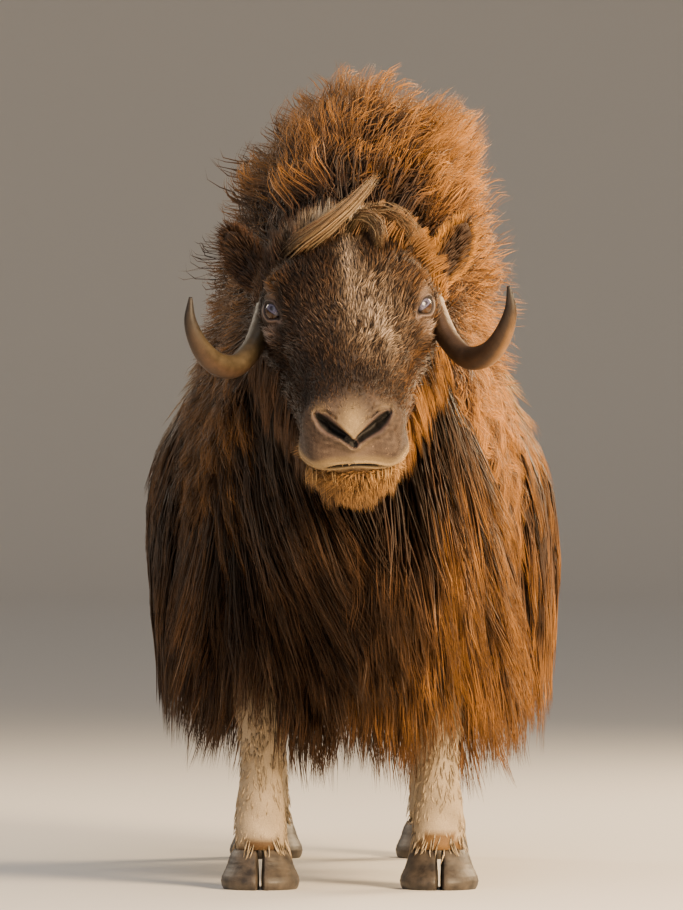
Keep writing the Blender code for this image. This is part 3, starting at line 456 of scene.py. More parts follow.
def outside(across, height, sizes, rounds):
    """How far points lie outside a section of these (up, down, half) sizes, and the way out in its plane."""
    up, down, half = sizes
    power = np.where(height >= 0, rounds[0], rounds[1])
    reach = np.where(height >= 0, up, down)
    a, b = np.abs(across / half), np.abs(height / reach)
    size = np.maximum((a ** power + b ** power) ** (1 / power), 1e-6)
    slope_a = np.sign(across) * a ** (power - 1) / half
    slope_b = np.sign(height) * b ** (power - 1) / reach
    length = np.maximum(np.hypot(slope_a, slope_b), 1e-6)
    return (size - 1) * size ** (power - 1) / length, slope_a / length, slope_b / length


def outside_trunk(points):
    top, bottom, half, wide = columns_at(TRUNK, points[..., 1])
    on_top, on_side, below = columns_at(COAT_DEPTH, points[..., 1])
    sizes = (top - wide + on_top, wide - bottom + below, half + on_side)
    off, x, z = outside(points[..., 0], points[..., 2] - wide, sizes, TRUNK_ROUND)
    return off, np.stack([x, np.zeros_like(x), z], axis=-1)


def rolled(points):
    """Points of the level head after the head's roll about the line of sight through the eyes."""
    arm = points - EYE_MIDDLE
    cos, sin = math.cos(HEAD_ROLL), math.sin(HEAD_ROLL)
    x, z = arm[..., 0] * cos - arm[..., 2] * sin, arm[..., 0] * sin + arm[..., 2] * cos
    return EYE_MIDDLE + np.stack([x, arm[..., 1], z], axis=-1)


def from_head(local):
    """Points of the head's frame where they stand."""
    x = local[..., :1] * np.array((1.0, 0.0, 0.0))
    return rolled(EYE_MIDDLE + x + local[..., 1:2] * FORWARD + local[..., 2:3] * UPWARD)


def pack_shift():
    """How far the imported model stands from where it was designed, read off an eye."""
    low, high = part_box("eye_left")
    shift = (np.array(low) + np.array(high)) / 2 - from_head(EYE_PLACE)
    shift[2] = 0.0
    return shift


SHIFT = pack_shift()


def to_head(points):
    """Points in the head's frame."""
    arm = points - EYE_MIDDLE
    cos, sin = math.cos(HEAD_ROLL), math.sin(HEAD_ROLL)
    x, z = arm[..., 0] * cos + arm[..., 2] * sin, -arm[..., 0] * sin + arm[..., 2] * cos
    level = np.stack([x, arm[..., 1], z], axis=-1)
    return np.stack([x, level @ FORWARD, level @ UPWARD], axis=-1)


def turn_from_head(ways):
    return from_head(ways) - from_head(np.zeros(3))


HEAD_RUN = along_rows(HEAD, [0, 1, 3])


def head_point(run, angle):
    """Point of the head at this run from its back and this angle from the top of the face."""
    run, angle = np.broadcast_arrays(np.asarray(run, float), np.asarray(angle, float))
    f, top, bottom, half, wide = columns_at(HEAD_RUN, run)
    across, height = section(half, top - wide, wide - bottom, HEAD_ROUND, angle)
    points = np.stack([across, f, wide + height], axis=-1)
    for centre, radius, push in STROKES:
        for side in (1, -1) if centre[0] else (1,):
            mirror = np.array((side, 1, 1))
            away = np.linalg.norm(points - np.array(centre) * mirror, axis=-1) / radius
            points = points + np.exp(-away ** 2)[..., None] * np.array(push) * mirror
    return points


def new_mesh(name, points, faces):
    """An object from points and faces of one size each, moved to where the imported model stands."""
    points = np.asarray(points, float).reshape(-1, 3) + SHIFT
    mesh = bpy.data.meshes.new(name)
    faces = np.asarray(faces, np.int32)
    count, size = faces.shape
    mesh.vertices.add(len(points))
    mesh.vertices.foreach_set("co", points.astype(np.float32).ravel())
    mesh.loops.add(count * size)
    mesh.loops.foreach_set("vertex_index", faces.ravel())
    mesh.polygons.add(count)
    mesh.polygons.foreach_set("loop_start", np.arange(0, count * size, size, dtype=np.int32))
    mesh.polygons.foreach_set("use_smooth", np.ones(count, bool))
    mesh.update(calc_edges=True)
    made = bpy.data.objects.new(name, mesh)
    bpy.context.scene.collection.objects.link(made)
    return made


def loft_faces(rings, sides):
    """The quads of a closed tube over rings of points."""
    i, j = np.meshgrid(np.arange(rings - 1), np.arange(sides), indexing="ij")
    k = (j + 1) % sides
    a, b = i * sides, (i + 1) * sides
    return np.stack([a + j, a + k, b + k, b + j], axis=-1).reshape(-1, 4)


def loft(name, rings, shift=True):
    """A closed skin over rings of points, with its ends closed round their middles."""
    rings = np.asarray(rings, float)
    count, sides = rings.shape[:2]
    made = new_mesh(name, rings if shift else rings - SHIFT, loft_faces(count, sides))
    work = bmesh.new()
    work.from_mesh(made.data)
    work.verts.ensure_lookup_table()
    ends = [[work.verts[start + j] for j in range(sides)] for start in (0, (count - 1) * sides)]
    for ring in ends:
        middle = work.verts.new(sum((v.co for v in ring), Vector()) / sides)
        for j in range(sides):
            work.faces.new((ring[j], ring[(j + 1) % sides], middle)).smooth = True
    bmesh.ops.recalc_face_normals(work, faces=work.faces)
    if work.calc_volume(signed=True) < 0:
        bmesh.ops.reverse_faces(work, faces=work.faces)
    work.to_mesh(made.data)
    work.free()
    return made


def tube_rings(path, radii, sides, flat=1.0, across=(1, 0, 0)):
    """Rings along a path, carried without twist. flat squeezes them square to across."""
    rings = []
    side = np.array(across, float)
    angles = turn(sides)
    for i, point in enumerate(path):
        ahead = unit(path[min(i + 1, len(path) - 1)] - path[max(i - 1, 0)])
        side = unit(side - ahead * side.dot(ahead))
        lift = np.cross(ahead, side)
        way = np.cos(angles)[:, None] * side + np.sin(angles)[:, None] * lift * flat
        rings.append(point + way * radii[i])
    return np.array(rings)


def points_of(made):
    found = np.empty(len(made.data.vertices) * 3, np.float32)
    made.data.vertices.foreach_get("co", found)
    return found.reshape(-1, 3).astype(float)


def normals_of(made):
    found = np.empty(len(made.data.vertices) * 3, np.float32)
    made.data.vertex_normals.foreach_get("vector", found)
    return found.reshape(-1, 3).astype(float)


def set_points(made, points):
    made.data.vertices.foreach_set("co", points.astype(np.float32).ravel())
    made.data.update()


def line_distance(points, line, widths):
    """Distance to a line of points, with the line's width at the nearest place."""
    line = np.asarray(line, float)
    best = np.full(len(points), 1e9)
    wide = np.zeros(len(points))
    for a, b, wa, wb in zip(line[:-1], line[1:], widths[:-1], widths[1:]):
        t = np.clip((points - a) @ (b - a) / max((b - a) @ (b - a), 1e-12), 0, 1)
        away = np.linalg.norm(points - a - t[:, None] * (b - a), axis=1)
        near = away < best
        best[near] = away[near]
        wide[near] = (wa + (wb - wa) * t)[near]
    return best, wide


def off_line(points, line):
    """Distance to a line of points."""
    return line_distance(points, line, [0] * len(line))[0]


def mirrored(line):
    """A line of the head's other side."""
    return [(-x, f, h) for x, f, h in line]


def in_groove(points, line, widths, inward, depth):
    """How many widths points lie off a groove cut along a line, down to its bottom."""
    nearest = np.full(len(points), 1e9)
    for share in np.linspace(0, 1, 5):
        away, wide = line_distance(points, np.asarray(line) + np.array(inward) * depth * share, widths)
        nearest = np.minimum(nearest, away / np.maximum(wide, 1e-6))
    return nearest


def in_nostril(local, side):
    line = np.array(NOSTRIL) * (side, 1, 1)
    return in_groove(local, line, NOSTRIL_WIDTH, (-0.3 * side, -0.75, -0.6), NOSTRIL_DEPTH)


def in_mouth(local):
    return in_groove(local, MOUTH_LINE, [MOUTH_WIDTH] * len(MOUTH_LINE), (0.0, -1.0, 0.25), MOUTH_DEPTH)


def refine(made, near):
    """Splits the faces whose points are near a feature."""
    work = bmesh.new()
    work.from_mesh(made.data)
    work.verts.ensure_lookup_table()
    chosen = near(np.array([tuple(v.co) for v in work.verts]))
    edges = [e for e in work.edges if chosen[e.verts[0].index] and chosen[e.verts[1].index]]
    bmesh.ops.subdivide_edges(work, edges=edges, cuts=1, use_grid_fill=True)
    for face in work.faces:
        face.smooth = True
    work.to_mesh(made.data)
    work.free()


def eye_axes(side):
    look = unit(np.array(EYE_LOOK))
    along = np.array(EYE_ALONG)
    along = unit(along - look * look.dot(along))
    up = np.cross(look, along)
    mirror = np.array((side, 1, 1))
    return look * mirror, along * mirror, up * mirror


def lid_place(points, side):
    """Where points lie round an eye: lid openings away, height above its middle, and how far off."""
    look, along, up = eye_axes(side)
    arm = points - EYE_PLACE * (side, 1, 1)
    off = np.linalg.norm(arm, axis=1)
    way = arm / off[:, None]
    ahead = np.maximum(way @ look, 1e-3)
    a, b = np.arctan2(way @ along, ahead), np.arctan2(way @ up, ahead)
    share = np.clip(a / LID_HALF_LENGTH, 0, 1)
    high = LID_HALF_HEIGHT * (1 - LID_POINT * share) * np.where(b > 0, UPPER_SHARE, 1.0)
    apart = np.hypot(a / LID_HALF_LENGTH, b / high)
    return np.where(way @ look > 0, apart, 9.0), b, off, way


def shape_lids(points, side):
    """Draws the skin round an eye onto the ball, with lids, and behind it inside the opening."""
    apart, above, off, way = lid_place(points, side)
    upper, lower = np.interp(apart, LID_STEPS, UPPER_LID), np.interp(apart, LID_STEPS, LOWER_LID)
    lid = EYE_RADIUS + lower + (upper - lower) * ease(above, -0.15, 0.15)
    hold = (1 - ease(apart, *LID_REACH)) * (1 - ease(off, *SOCKET_REACH))
    target = EYE_PLACE * (side, 1, 1) + way * lid[:, None]
    return points + (target - points) * hold[:, None]


def from_eye(local):
    """How many lid openings places on the head are from the nearer eye."""
    near = []
    for side in (1, -1):
        apart, _, off, _ = lid_place(local, side)
        near.append(apart * np.maximum(off / LID_FADE, 1))
    return np.minimum(near[0], near[1])


def make_head():
    """The head in its own frame with lids, nostrils, lips and folds."""
    runs = np.linspace(0, HEAD_RUN[-1, 0], HEAD_RINGS)
    angles = turn(HEAD_SIDES)
    head = loft("head_form", head_point(runs[:, None], angles[None, :]), shift=False)
    nostrils = [NOSTRIL, mirrored(NOSTRIL)]

    def near_features(points, reach, eye_reach):
        near = np.zeros(len(points), bool)
        for line in nostrils + [MOUTH_LINE, PHILTRUM]:
            near |= off_line(points, line) < reach
        for side in (1, -1):
            near |= np.linalg.norm(points - EYE_PLACE * (side, 1, 1), axis=1) < eye_reach
        return near

    refine(head, lambda p: near_features(p, 0.022, 0.055))
    refine(head, lambda p: near_features(p, 0.011, 0.040))
    points = points_of(head)
    for side in (1, -1):
        points = shape_lids(points, side)
    set_points(head, points)
    grooves = [
        (MOUTH_LINE, [MOUTH_WIDTH] * len(MOUTH_LINE), MOUTH_DEPTH, LIP_ROLL),
        (PHILTRUM, [PHILTRUM_WIDTH] * len(PHILTRUM), PHILTRUM_DEPTH, PHILTRUM_RIM),
    ]
    grooves += [(line, NOSTRIL_WIDTH, NOSTRIL_DEPTH, NOSTRIL_RIM) for line in nostrils]
    grooves += [(line, [ALAR_WIDTH] * len(ALAR), ALAR_DEPTH, ALAR_RIM) for line in (ALAR, mirrored(ALAR))]
    for line, widths, depth, rim in grooves:
        out = normals_of(head)
        points = points_of(head)
        away, wide = line_distance(points, line, widths)
        ratio = away / np.maximum(wide, 1e-6)
        sunk = -depth * np.exp(-ratio ** 4) * np.clip(wide / max(widths), 0.3, 1)
        raised = rim * np.exp(-((ratio - 1.7) / 0.55) ** 2)
        set_points(head, points + out * (sunk + raised)[:, None])
    return head


def set_on_neck(head):
    """Moves a head from its own frame to where it stands. The frame is left-handed, so faces turn over."""
    set_points(head, from_head(points_of(head)) + SHIFT)
    head.data.flip_normals()
    head.data.update()


def build_skin():
    """Head, trunk, legs, ears and tail as one closed skin."""
    head = make_head()
    set_on_neck(head)
    ys = np.linspace(TRUNK[0, 0], TRUNK[-1, 0], TRUNK_RINGS)
    angles = turn(TRUNK_SIDES)
    skin = loft("skin", trunk_point(ys[:, None], angles[None, :], 0))
    parts = [head]
    for rows in (FRONT_LEG, HIND_LEG):
        for side in (1, -1):
            parts.append(loft("leg", leg_rings(rows, side)))
    for side in (1, -1):
        parts.append(loft("ear", ear_rings(side)))
    parts.append(loft("tail_form", tail_rings()))
    join(skin, parts)
    return skin


def join(base, others):
    """Joins closed meshes in one Boolean union, applies it and removes them."""
    tools = bpy.data.collections.new("tools")
    for other in others:
        for home in list(other.users_collection):
            home.objects.unlink(other)
        tools.objects.link(other)
    bpy.context.scene.collection.children.link(tools)
    change = base.modifiers.new("join", "BOOLEAN")
    change.operation = "UNION"
    change.operand_type = "COLLECTION"
    change.collection = tools
    change.solver = "MANIFOLD"
    bpy.context.view_layer.update()
    mesh = bpy.data.meshes.new_from_object(base.evaluated_get(bpy.context.evaluated_depsgraph_get()))
    base.modifiers.clear()
    base.data = mesh
    for other in others:
        bpy.data.objects.remove(other)
    bpy.data.collections.remove(tools)
    mesh.polygons.foreach_set("use_smooth", np.ones(len(mesh.polygons), bool))
    mesh.update()


def leg_rings(rows, side):
    """Rings of a leg's skin, which is thinner than the leg by its fur."""
    path = spread(rows, LEG_RINGS)
    angles = turn(LEG_SIDES)
    x, y, z, wide, long = (path[:, i, None] for i in range(5))
    across, along = x + (wide - LEG_FUR) * np.sin(angles), y + (long - LEG_FUR) * np.cos(angles)
    return np.stack([side * across, along, z + 0 * angles], axis=-1)


def ear_axes(side):
    axis = EAR_TIP - EAR_ROOT
    facing = unit(np.array(EAR_FACING))
    facing = unit(facing - axis * facing.dot(axis) / axis.dot(axis))
    across = unit(np.cross(axis, facing))
    mirror = np.array((side, 1, 1))
    return axis * mirror, facing * mirror, across * mirror


def ear_rings(side):
    """A leaf-shaped ear, its front side sunk into a cup with thick edges."""
    axis, facing, across = ear_axes(side)
    rows = spread(EAR_OUTLINE, EAR_RINGS, slice(0, 1))
    angles = turn(EAR_SIDES)
    rings = []
    for share, wide in rows:
        deep = np.sin(angles) * EAR_CUP / 2 * min(1.0, wide * 1.3)
        cup = ease(np.sin(angles), 0.0, 0.5) * (1 - np.abs(np.cos(angles)) ** 3)
        sunk = cup * EAR_CUP * 0.72 * ease(share, 0.12, 0.35) * (1 - ease(share, 0.80, 0.98))
        apart = across * (np.cos(angles) * wide * EAR_WIDTH / 2)[:, None]
        point = EAR_ROOT * (side, 1, 1) + axis * share + apart
        rings.append(point + facing * (deep - sunk)[:, None])
    return rolled(np.array(rings))


def tail_rings():
    share = np.linspace(0, 1, 14)
    path = TAIL_ROOT + np.stack([0 * share, TAIL_BEND * np.sin(1.6 * share), -TAIL_LENGTH * share], axis=-1)
    return tube_rings(path, TAIL_RADIUS * (1 - 0.65 * share), 20)


# Colours, all as (red, green, blue)
DEEP = np.array((0.018, 0.010, 0.006))
UMBER = np.array((0.085, 0.039, 0.016))
OCHRE = np.array((0.450, 0.190, 0.034))
RIM_LIGHT_GOLD = np.array((0.640, 0.285, 0.050))
SADDLE = np.array((0.470, 0.330, 0.180))
GREY = np.array((0.230, 0.160, 0.110))
CREAM = np.array((0.640, 0.500, 0.330))
PINK = np.array((0.450, 0.300, 0.215))
HORN_OLIVE = np.array((0.042, 0.029, 0.014))
HORN_BROWN = np.array((0.040, 0.022, 0.012))
HORN_PAINTED_LIGHT = np.array((0.190, 0.095, 0.032))
HORN_TIP = np.array((0.018, 0.013, 0.010))
BARE_SKIN = np.array((0.060, 0.036, 0.030))
LID_SKIN = np.array((0.220, 0.150, 0.120))
LID_EDGE = np.array((0.016, 0.010, 0.009))
MOTTLE = np.array((0.560, 0.415, 0.290))
BUFF = np.array((0.520, 0.400, 0.260))
RUST = np.array((0.480, 0.245, 0.070))

# Colours from the top of the eye to its lower lid, and of the hooves' blotches: (position, colour)
# The lilac blue at the top of the eye is a painted reflection; the darker stops below are the eye's own
# colours.
EYE_REFLECTION_AND_IRIS_STOPS = (
    (0.0, (0.088, 0.082, 0.130, 1)), (0.35, (0.054, 0.050, 0.088, 1)), (0.55, (0.006, 0.004, 0.004, 1)),
    (0.75, (0.026, 0.013, 0.007, 1)), (1.0, (0.046, 0.022, 0.010, 1)),
)
HOOF_STOPS = ((0.35, (0.020, 0.016, 0.014, 1)), (0.75, (0.110, 0.085, 0.062, 1)))


def mix(a, b, share):
    share = np.asarray(share)[..., None]
    return a * (1 - share) + b * share


def waves(points, scale, seed):
    """Soft patches from -1 to 1, the same for the skin and the coat."""
    rng = np.random.default_rng(seed)
    total = np.zeros(points.shape[:-1])
    for _ in range(7):
        way = rng.normal(size=3)
        total += np.sin(points @ (way / np.linalg.norm(way)) * 2 * math.pi / scale * rng.uniform(0.6, 1.7)
                        + rng.uniform(0, 6.28))
    return total / 3.5


def spot(local, centre, sizes):
    """1 in the middle of an oval spot on the head, fading to 0 outside it."""
    away = (local - np.array(centre)) / np.array(sizes)
    return np.exp(-(away ** 2).sum(axis=-1))


def head_markings(local):
    """Colour of the face's hair, with painted light on her left side: (at the root, at the tip)."""
    x, f, h = np.abs(local[..., 0]), local[..., 1], local[..., 2]
    mirror = np.stack([x, f, h], axis=-1)
    patch = waves(local, 0.030, 5)
    fine = waves(local, 0.011, 6)
    # The face's left side (+X), towards the key light, is painted lighter and golder: painted light.
    painted_lit_face_side = ease(local[..., 0], -0.06, 0.09)
    tip = mix(DEEP * 1.2, UMBER * 0.60, 0.5 + 0.5 * patch)
    tip = mix(tip, OCHRE * 0.55, 0.55 * painted_lit_face_side * ease(fine, -0.3, 0.9))
    brow = ease(x, 0.085, 0.125) * ease(h, 0.0, 0.05) * (1 - ease(f, -0.01, 0.03))
    tip = mix(tip, OCHRE * 0.62, 0.55 * brow)
    bridge = spot(local, (0.038, 0.092, 0.052), (0.040, 0.066, 0.06)) * ease(patch + 1.1 * fine, -1.1, 0.9)
    stripe = spot(local, (0.004, -0.015, 0.08), (0.014, 0.070, 0.06))
    tip = mix(tip, MOTTLE, np.clip(0.92 * bridge + 0.60 * stripe, 0, 0.92))
    side_mottle = spot(local, (-0.052, 0.080, 0.01), (0.030, 0.040, 0.05)) * ease(fine, -0.5, 0.8)
    tip = mix(tip, PINK * 0.60, 0.8 * side_mottle)
    hood = spot(mirror, (0.118, 0.000, 0.025), (0.014, 0.013, 0.009))
    tip = mix(tip, PINK * 0.75, 0.75 * hood)
    poll = spot(local, (-0.006, -0.112, 0.070), (0.058, 0.030, 0.05)) * 1.3
    tip = mix(tip, CREAM, np.clip(poll, 0, 1))
    under_eye = spot(mirror, (0.116, 0.036, -0.020), (0.014, 0.018, 0.016))
    tip = mix(tip, PINK * 1.1, 0.8 * under_eye)
    dark_band = spot(local, (0.0, 0.204, 0.03), (0.080, 0.032, 0.06))
    tip = mix(tip, DEEP * 1.3, 0.85 * dark_band)
    # Cheeks in umber, painted lighter on her left side: painted light.
    cheek = ease(-h, 0.040, 0.100) * (1 - ease(f, 0.16, 0.23))
    tip = mix(tip, mix(UMBER * 0.55, UMBER * 1.2, painted_lit_face_side), 0.85 * cheek)
    muzzle = ease(f, 0.222, 0.250)
    tip = mix(tip, mix(UMBER * 0.60, PINK * 0.40, 0.5 + 0.5 * fine), 0.85 * muzzle)
    pad = spot(local, (0.0, 0.272, -0.010), (0.017, 0.026, 0.030))
    wings = spot(mirror, (0.052, 0.250, 0.008), (0.014, 0.012, 0.012))
    middle = spot(local, (0.0, 0.290, -0.052), (0.034, 0.040, 0.014))
    lip = 1 - ease(off_line(local, MOUTH_LINE), 0.011, 0.025)
    tip = mix(tip, PINK * 0.85, 0.7 * middle)
    cream = np.clip(1.2 * pad + 0.35 * wings + lip * ease(f, 0.222, 0.255), 0, 1)
    tip = mix(tip, CREAM * np.array((0.86, 0.74, 0.50)), cream)
    # Rust chin, painted lighter on her left side: painted light.
    chin = ease(f, 0.170, 0.225) * ease(-h, 0.078, 0.100)
    tip = mix(tip, mix(RUST * 0.55, RUST * 1.1, painted_lit_face_side), 0.9 * chin)
    return tip * 0.30 + DEEP * 0.4, tip


def body_markings(points):
    """Colour of the long coat, with painted light on her left side and painted shade under the head and on
    the chest: (at the root, half way, at the tip).
    """
    x, y, z = points[..., 0], points[..., 1], points[..., 2]
    # Her left side (+X), towards the key light, is painted lighter and golder, and her right darker: painted
    # light and shade.
    painted_lit_side = ease(x, -0.10, 0.22)
    patch = waves(points, 0.22, 3)
    mane = (1 - ease(y, -0.30, -0.02)) * ease(z, 0.70, 0.90)
    root = DEEP * (0.8 + 0 * x)[..., None]
    half = mix(UMBER * 0.26, UMBER * 1.10, np.clip(0.75 * painted_lit_side + 0.08 + 0.12 * patch, 0, 1))
    tip = mix(UMBER * 0.68, OCHRE, np.clip(0.04 + 0.92 * painted_lit_side + 0.12 * patch, 0, 1))
    # The mane is painted lighter towards her left side as well: painted light.
    half = mix(half, mix(UMBER * 0.42, UMBER, painted_lit_side), mane)
    tip = mix(tip, mix(OCHRE * 0.44, OCHRE * 1.25, ease(x, -0.18, 0.20)), mane)
    back = ease(y, -0.10, 0.06) * (1 - ease(y, 0.40, 0.56)) * ease(z, 0.86, 1.0)
    half = mix(half, SADDLE * 0.42, 0.9 * back)
    tip = mix(tip, SADDLE * 0.85, 0.9 * back)
    skirt = (1 - ease(z, 0.42, 0.66)) * ease(y, -0.45, -0.30)
    half = mix(half, UMBER * 0.45, 0.7 * skirt)
    tip = mix(tip, UMBER, 0.6 * skirt)
    # Darker throat under the head, away from her lit left side: painted shade.
    throat = (1 - ease(y, -0.60, -0.44)) * (1 - ease(x, 0.06, 0.17)) * (1 - ease(z, 0.74, 0.90))
    half = mix(half, UMBER * 0.40, 0.85 * throat)
    tip = mix(tip, UMBER, 0.75 * throat)
    # Darker lower middle of the chest: painted shade.
    chest_painted_shade = throat * (1 - ease(np.abs(x + 0.05), 0.09, 0.19)) * (1 - ease(z, 0.52, 0.74))
    half = mix(half, DEEP, 0.8 * chest_painted_shade)
    tip = mix(tip, UMBER * 0.36, 0.8 * chest_painted_shade)
    return root, half, tip


def leg_markings(points):
    z = points[..., 2]
    low = 1 - ease(z, 0.24, 0.36)
    tip = mix(UMBER * 0.9, BUFF, low)
    tip = mix(tip, BUFF * 0.72, low * (0.5 + 0.5 * waves(points, 0.05, 8)))
    return tip * 0.6, tip


def write_tint(made, colours):
    """Stores a colour for every vertex."""
    layer = made.data.color_attributes.new("tint", "FLOAT_COLOR", "POINT")
    full = np.concatenate([np.clip(colours, 0, 1), np.ones((len(colours), 1))], axis=1)
    layer.data.foreach_set("color", full.astype(np.float32).ravel())


def hair_mesh(name, paths, outs, widths, ridge, tints, roots_uv, along, profile):
    """Tapered strands of three sides over paths (strands, points, 3), as one joined mesh."""
    count, points = paths.shape[:2]
    rings = points - 1
    ahead = unit(np.gradient(paths, axis=1))[:, :rings]
    side = unit(np.cross(ahead, outs[:, :rings]))
    up = np.cross(side, ahead)
    half = (widths[:, None] * profile[None, :rings] / 2)[..., None]
    rise = ((widths * ridge)[:, None] * profile[None, :rings])[..., None]
    middle = paths[:, :rings]
    ring = np.stack([middle - side * half, middle + side * half, middle + up * rise], axis=2)
    verts = np.concatenate([ring.reshape(count, rings * 3, 3), paths[:, rings:]], axis=1)
    per = rings * 3 + 1
    faces = [(0, 1, 2)]
    for i in range(rings - 1):
        for j in range(3):
            k = (j + 1) % 3
            a, b = 3 * i, 3 * i + 3
            faces += [(a + j, b + j, a + k), (a + k, b + j, b + k)]
    last = 3 * (rings - 1)
    faces += [(last + j, per - 1, last + (j + 1) % 3) for j in range(3)]
    faces = np.array(faces, np.int32)
    every = (faces[None] + (np.arange(count, dtype=np.int32) * per)[:, None, None]).reshape(-1, 3)
    made = new_mesh(name, verts, every)
    shares = np.concatenate([np.repeat(along[:rings], 3), [1.0]])
    write_tint(made, tints(shares).reshape(-1, 3))
    across = np.concatenate([np.tile([0.0, 1.0, 0.5], rings), [0.5]])
    uv = roots_uv[:, None, :] + np.stack([across, shares], axis=-1)[None] * PATCH
    layer = made.data.uv_layers.new(name="OFBake")
    layer.uv.foreach_set("vector", uv.reshape(-1, 2)[every.ravel()].astype(np.float32).ravel())
    return made


def pick_by_weight(rng, run, count):
    """Numbers of steps of a running sum, spread evenly over it with a random share each."""
    pick = np.searchsorted(run, (np.arange(count) + rng.random(count)) / count * run[-1])
    return np.minimum(pick, len(run) - 1)


def sow_trunk(rng, count, density):
    """Roots (y, angle) spread over the trunk's skin, as dense as density says."""
    ys = np.linspace(TRUNK[0, 0] + 0.004, TRUNK[-1, 0] - 0.003, 400)
    angles = np.linspace(-math.pi, math.pi, 361)
    grid = trunk_point(ys[:, None], angles[None, :], 0)
    area = np.linalg.norm(np.cross(grid[1:, :-1] - grid[:-1, :-1], grid[:-1, 1:] - grid[:-1, :-1]), axis=-1)
    middle_y = (ys[1:] + ys[:-1])[:, None] / 2 + 0 * area
    middle_a = (angles[1:] + angles[:-1])[None, :] / 2 + 0 * area
    run = np.cumsum((area * density(middle_y, middle_a)).ravel())
    pick = pick_by_weight(rng, run, count)
    y = middle_y.ravel()[pick] + rng.uniform(-0.5, 0.5, count) * (ys[1] - ys[0])
    angle = middle_a.ravel()[pick] + rng.uniform(-0.5, 0.5, count) * (angles[1] - angles[0])
    return y, angle


def nearest_guides(roots, every):
    """For each root the number of the nearest guide. Every so many roots, one is a guide."""
    guides = np.arange(0, len(roots), every)
    tree = KDTree(len(guides))
    for place, guide in enumerate(guides):
        tree.insert(roots[guide], place)
    tree.balance()
    return guides[[tree.find(root)[1] for root in roots]]


def fall(roots, starts, pulls, lengths, turns, lifts, shares):
    """Paths that leave the roots along starts, turn towards pulls and stay off trunk and head."""
    ahead = unit(starts)
    place = roots.copy()
    path = [place]
    ways = [outside_trunk(place)[1]]
    for done, share in zip(shares[:-1], shares[1:]):
        bend = 1 - (1 - turns) ** ((share - done) * TURN_STEPS)
        ahead = unit(ahead * (1 - bend)[:, None] + pulls * bend[:, None])
        place = place + ahead * (lengths * (share - done))[:, None]
        off, out = outside_trunk(place)
        want = lifts[0] + (lifts[1] - lifts[0]) * share
        place = place + out * np.maximum(want - off, 0)[:, None]
        place = clear_head(place, 0.004)
        path.append(place)
        ways.append(out)
    return np.stack(path, axis=1), np.stack(ways, axis=1)


def off_head(local):
    """How far places of the head's frame lie outside its side, and the way out across and up."""
    top, bottom, half, wide = columns_at(HEAD[:-1], local[:, 1])
    return outside(local[:, 0], local[:, 2] - wide, (top - wide, wide - bottom, half), HEAD_ROUND)


def beside_head(local):
    return (local[:, 1] > HEAD_SPAN[0]) & (local[:, 1] < HEAD_SPAN[1])


def outside_head(points):
    """How far points lie outside the head, or a large number where they are in front or behind."""
    local = to_head(points)
    return np.where(beside_head(local), off_head(local)[0], 1.0)


def clear_head(points, gap):
    """Moves points that are in the head out through its side."""
    local = to_head(points)
    inside = beside_head(local) & (np.abs(local[:, 0]) < HEAD_REACH)
    if not inside.any():
        return points
    held = local[inside]
    off, x, h = off_head(held)
    push = np.maximum(gap - off, 0)
    held[:, 0] += x * push
    held[:, 2] += h * push
    moved = points.copy()
    moved[inside] = from_head(held)
    return moved


def hold_in(points):
    """Eases what reaches past the coat's widest lines back inside them."""
    x = points[..., 0]
    hem = HEM_DRAWN_IN * ease(HEM_TOP - points[..., 2], 0.0, HEM_DEEP)
    edge = np.where(x < 0, *COAT_REACH) - COAT_EASE - hem
    past = np.maximum(np.abs(x) - edge, 0)
    held = points.copy()
    held[..., 0] = np.sign(x) * (np.minimum(np.abs(x), edge) + COAT_EASE * (1 - np.exp(-past / COAT_EASE)))
    return held


def gather(paths, guides, hold, power, shares=None):
    """Draws each strand towards its guide, most at the tip."""
    share = (np.linspace(0, 1, paths.shape[1]) if shares is None else shares) ** power
    towards = paths[guides] - paths
    return paths + towards * (share[None, :] * hold[:, None])[..., None]


def taper(t, start, full):
    """Share of the full width at these shares of a strand's length, down to nothing at the tip."""
    return np.where(t < full, start + (1 - start) * t / full, np.clip((1 - t) / (1 - full), 0, 1) ** 0.75)


def drawing(rng, count):
    """Draws a number between two bounds for each strand."""
    return lambda low, high: rng.uniform(low, high, count)


def sharing(draw, guides):
    """Draws numbers that are each strand's own in part, and its guide's for the rest."""
    return lambda low, high, own=0.4: draw(low, high)[guides] * (1 - own) + draw(low, high) * own


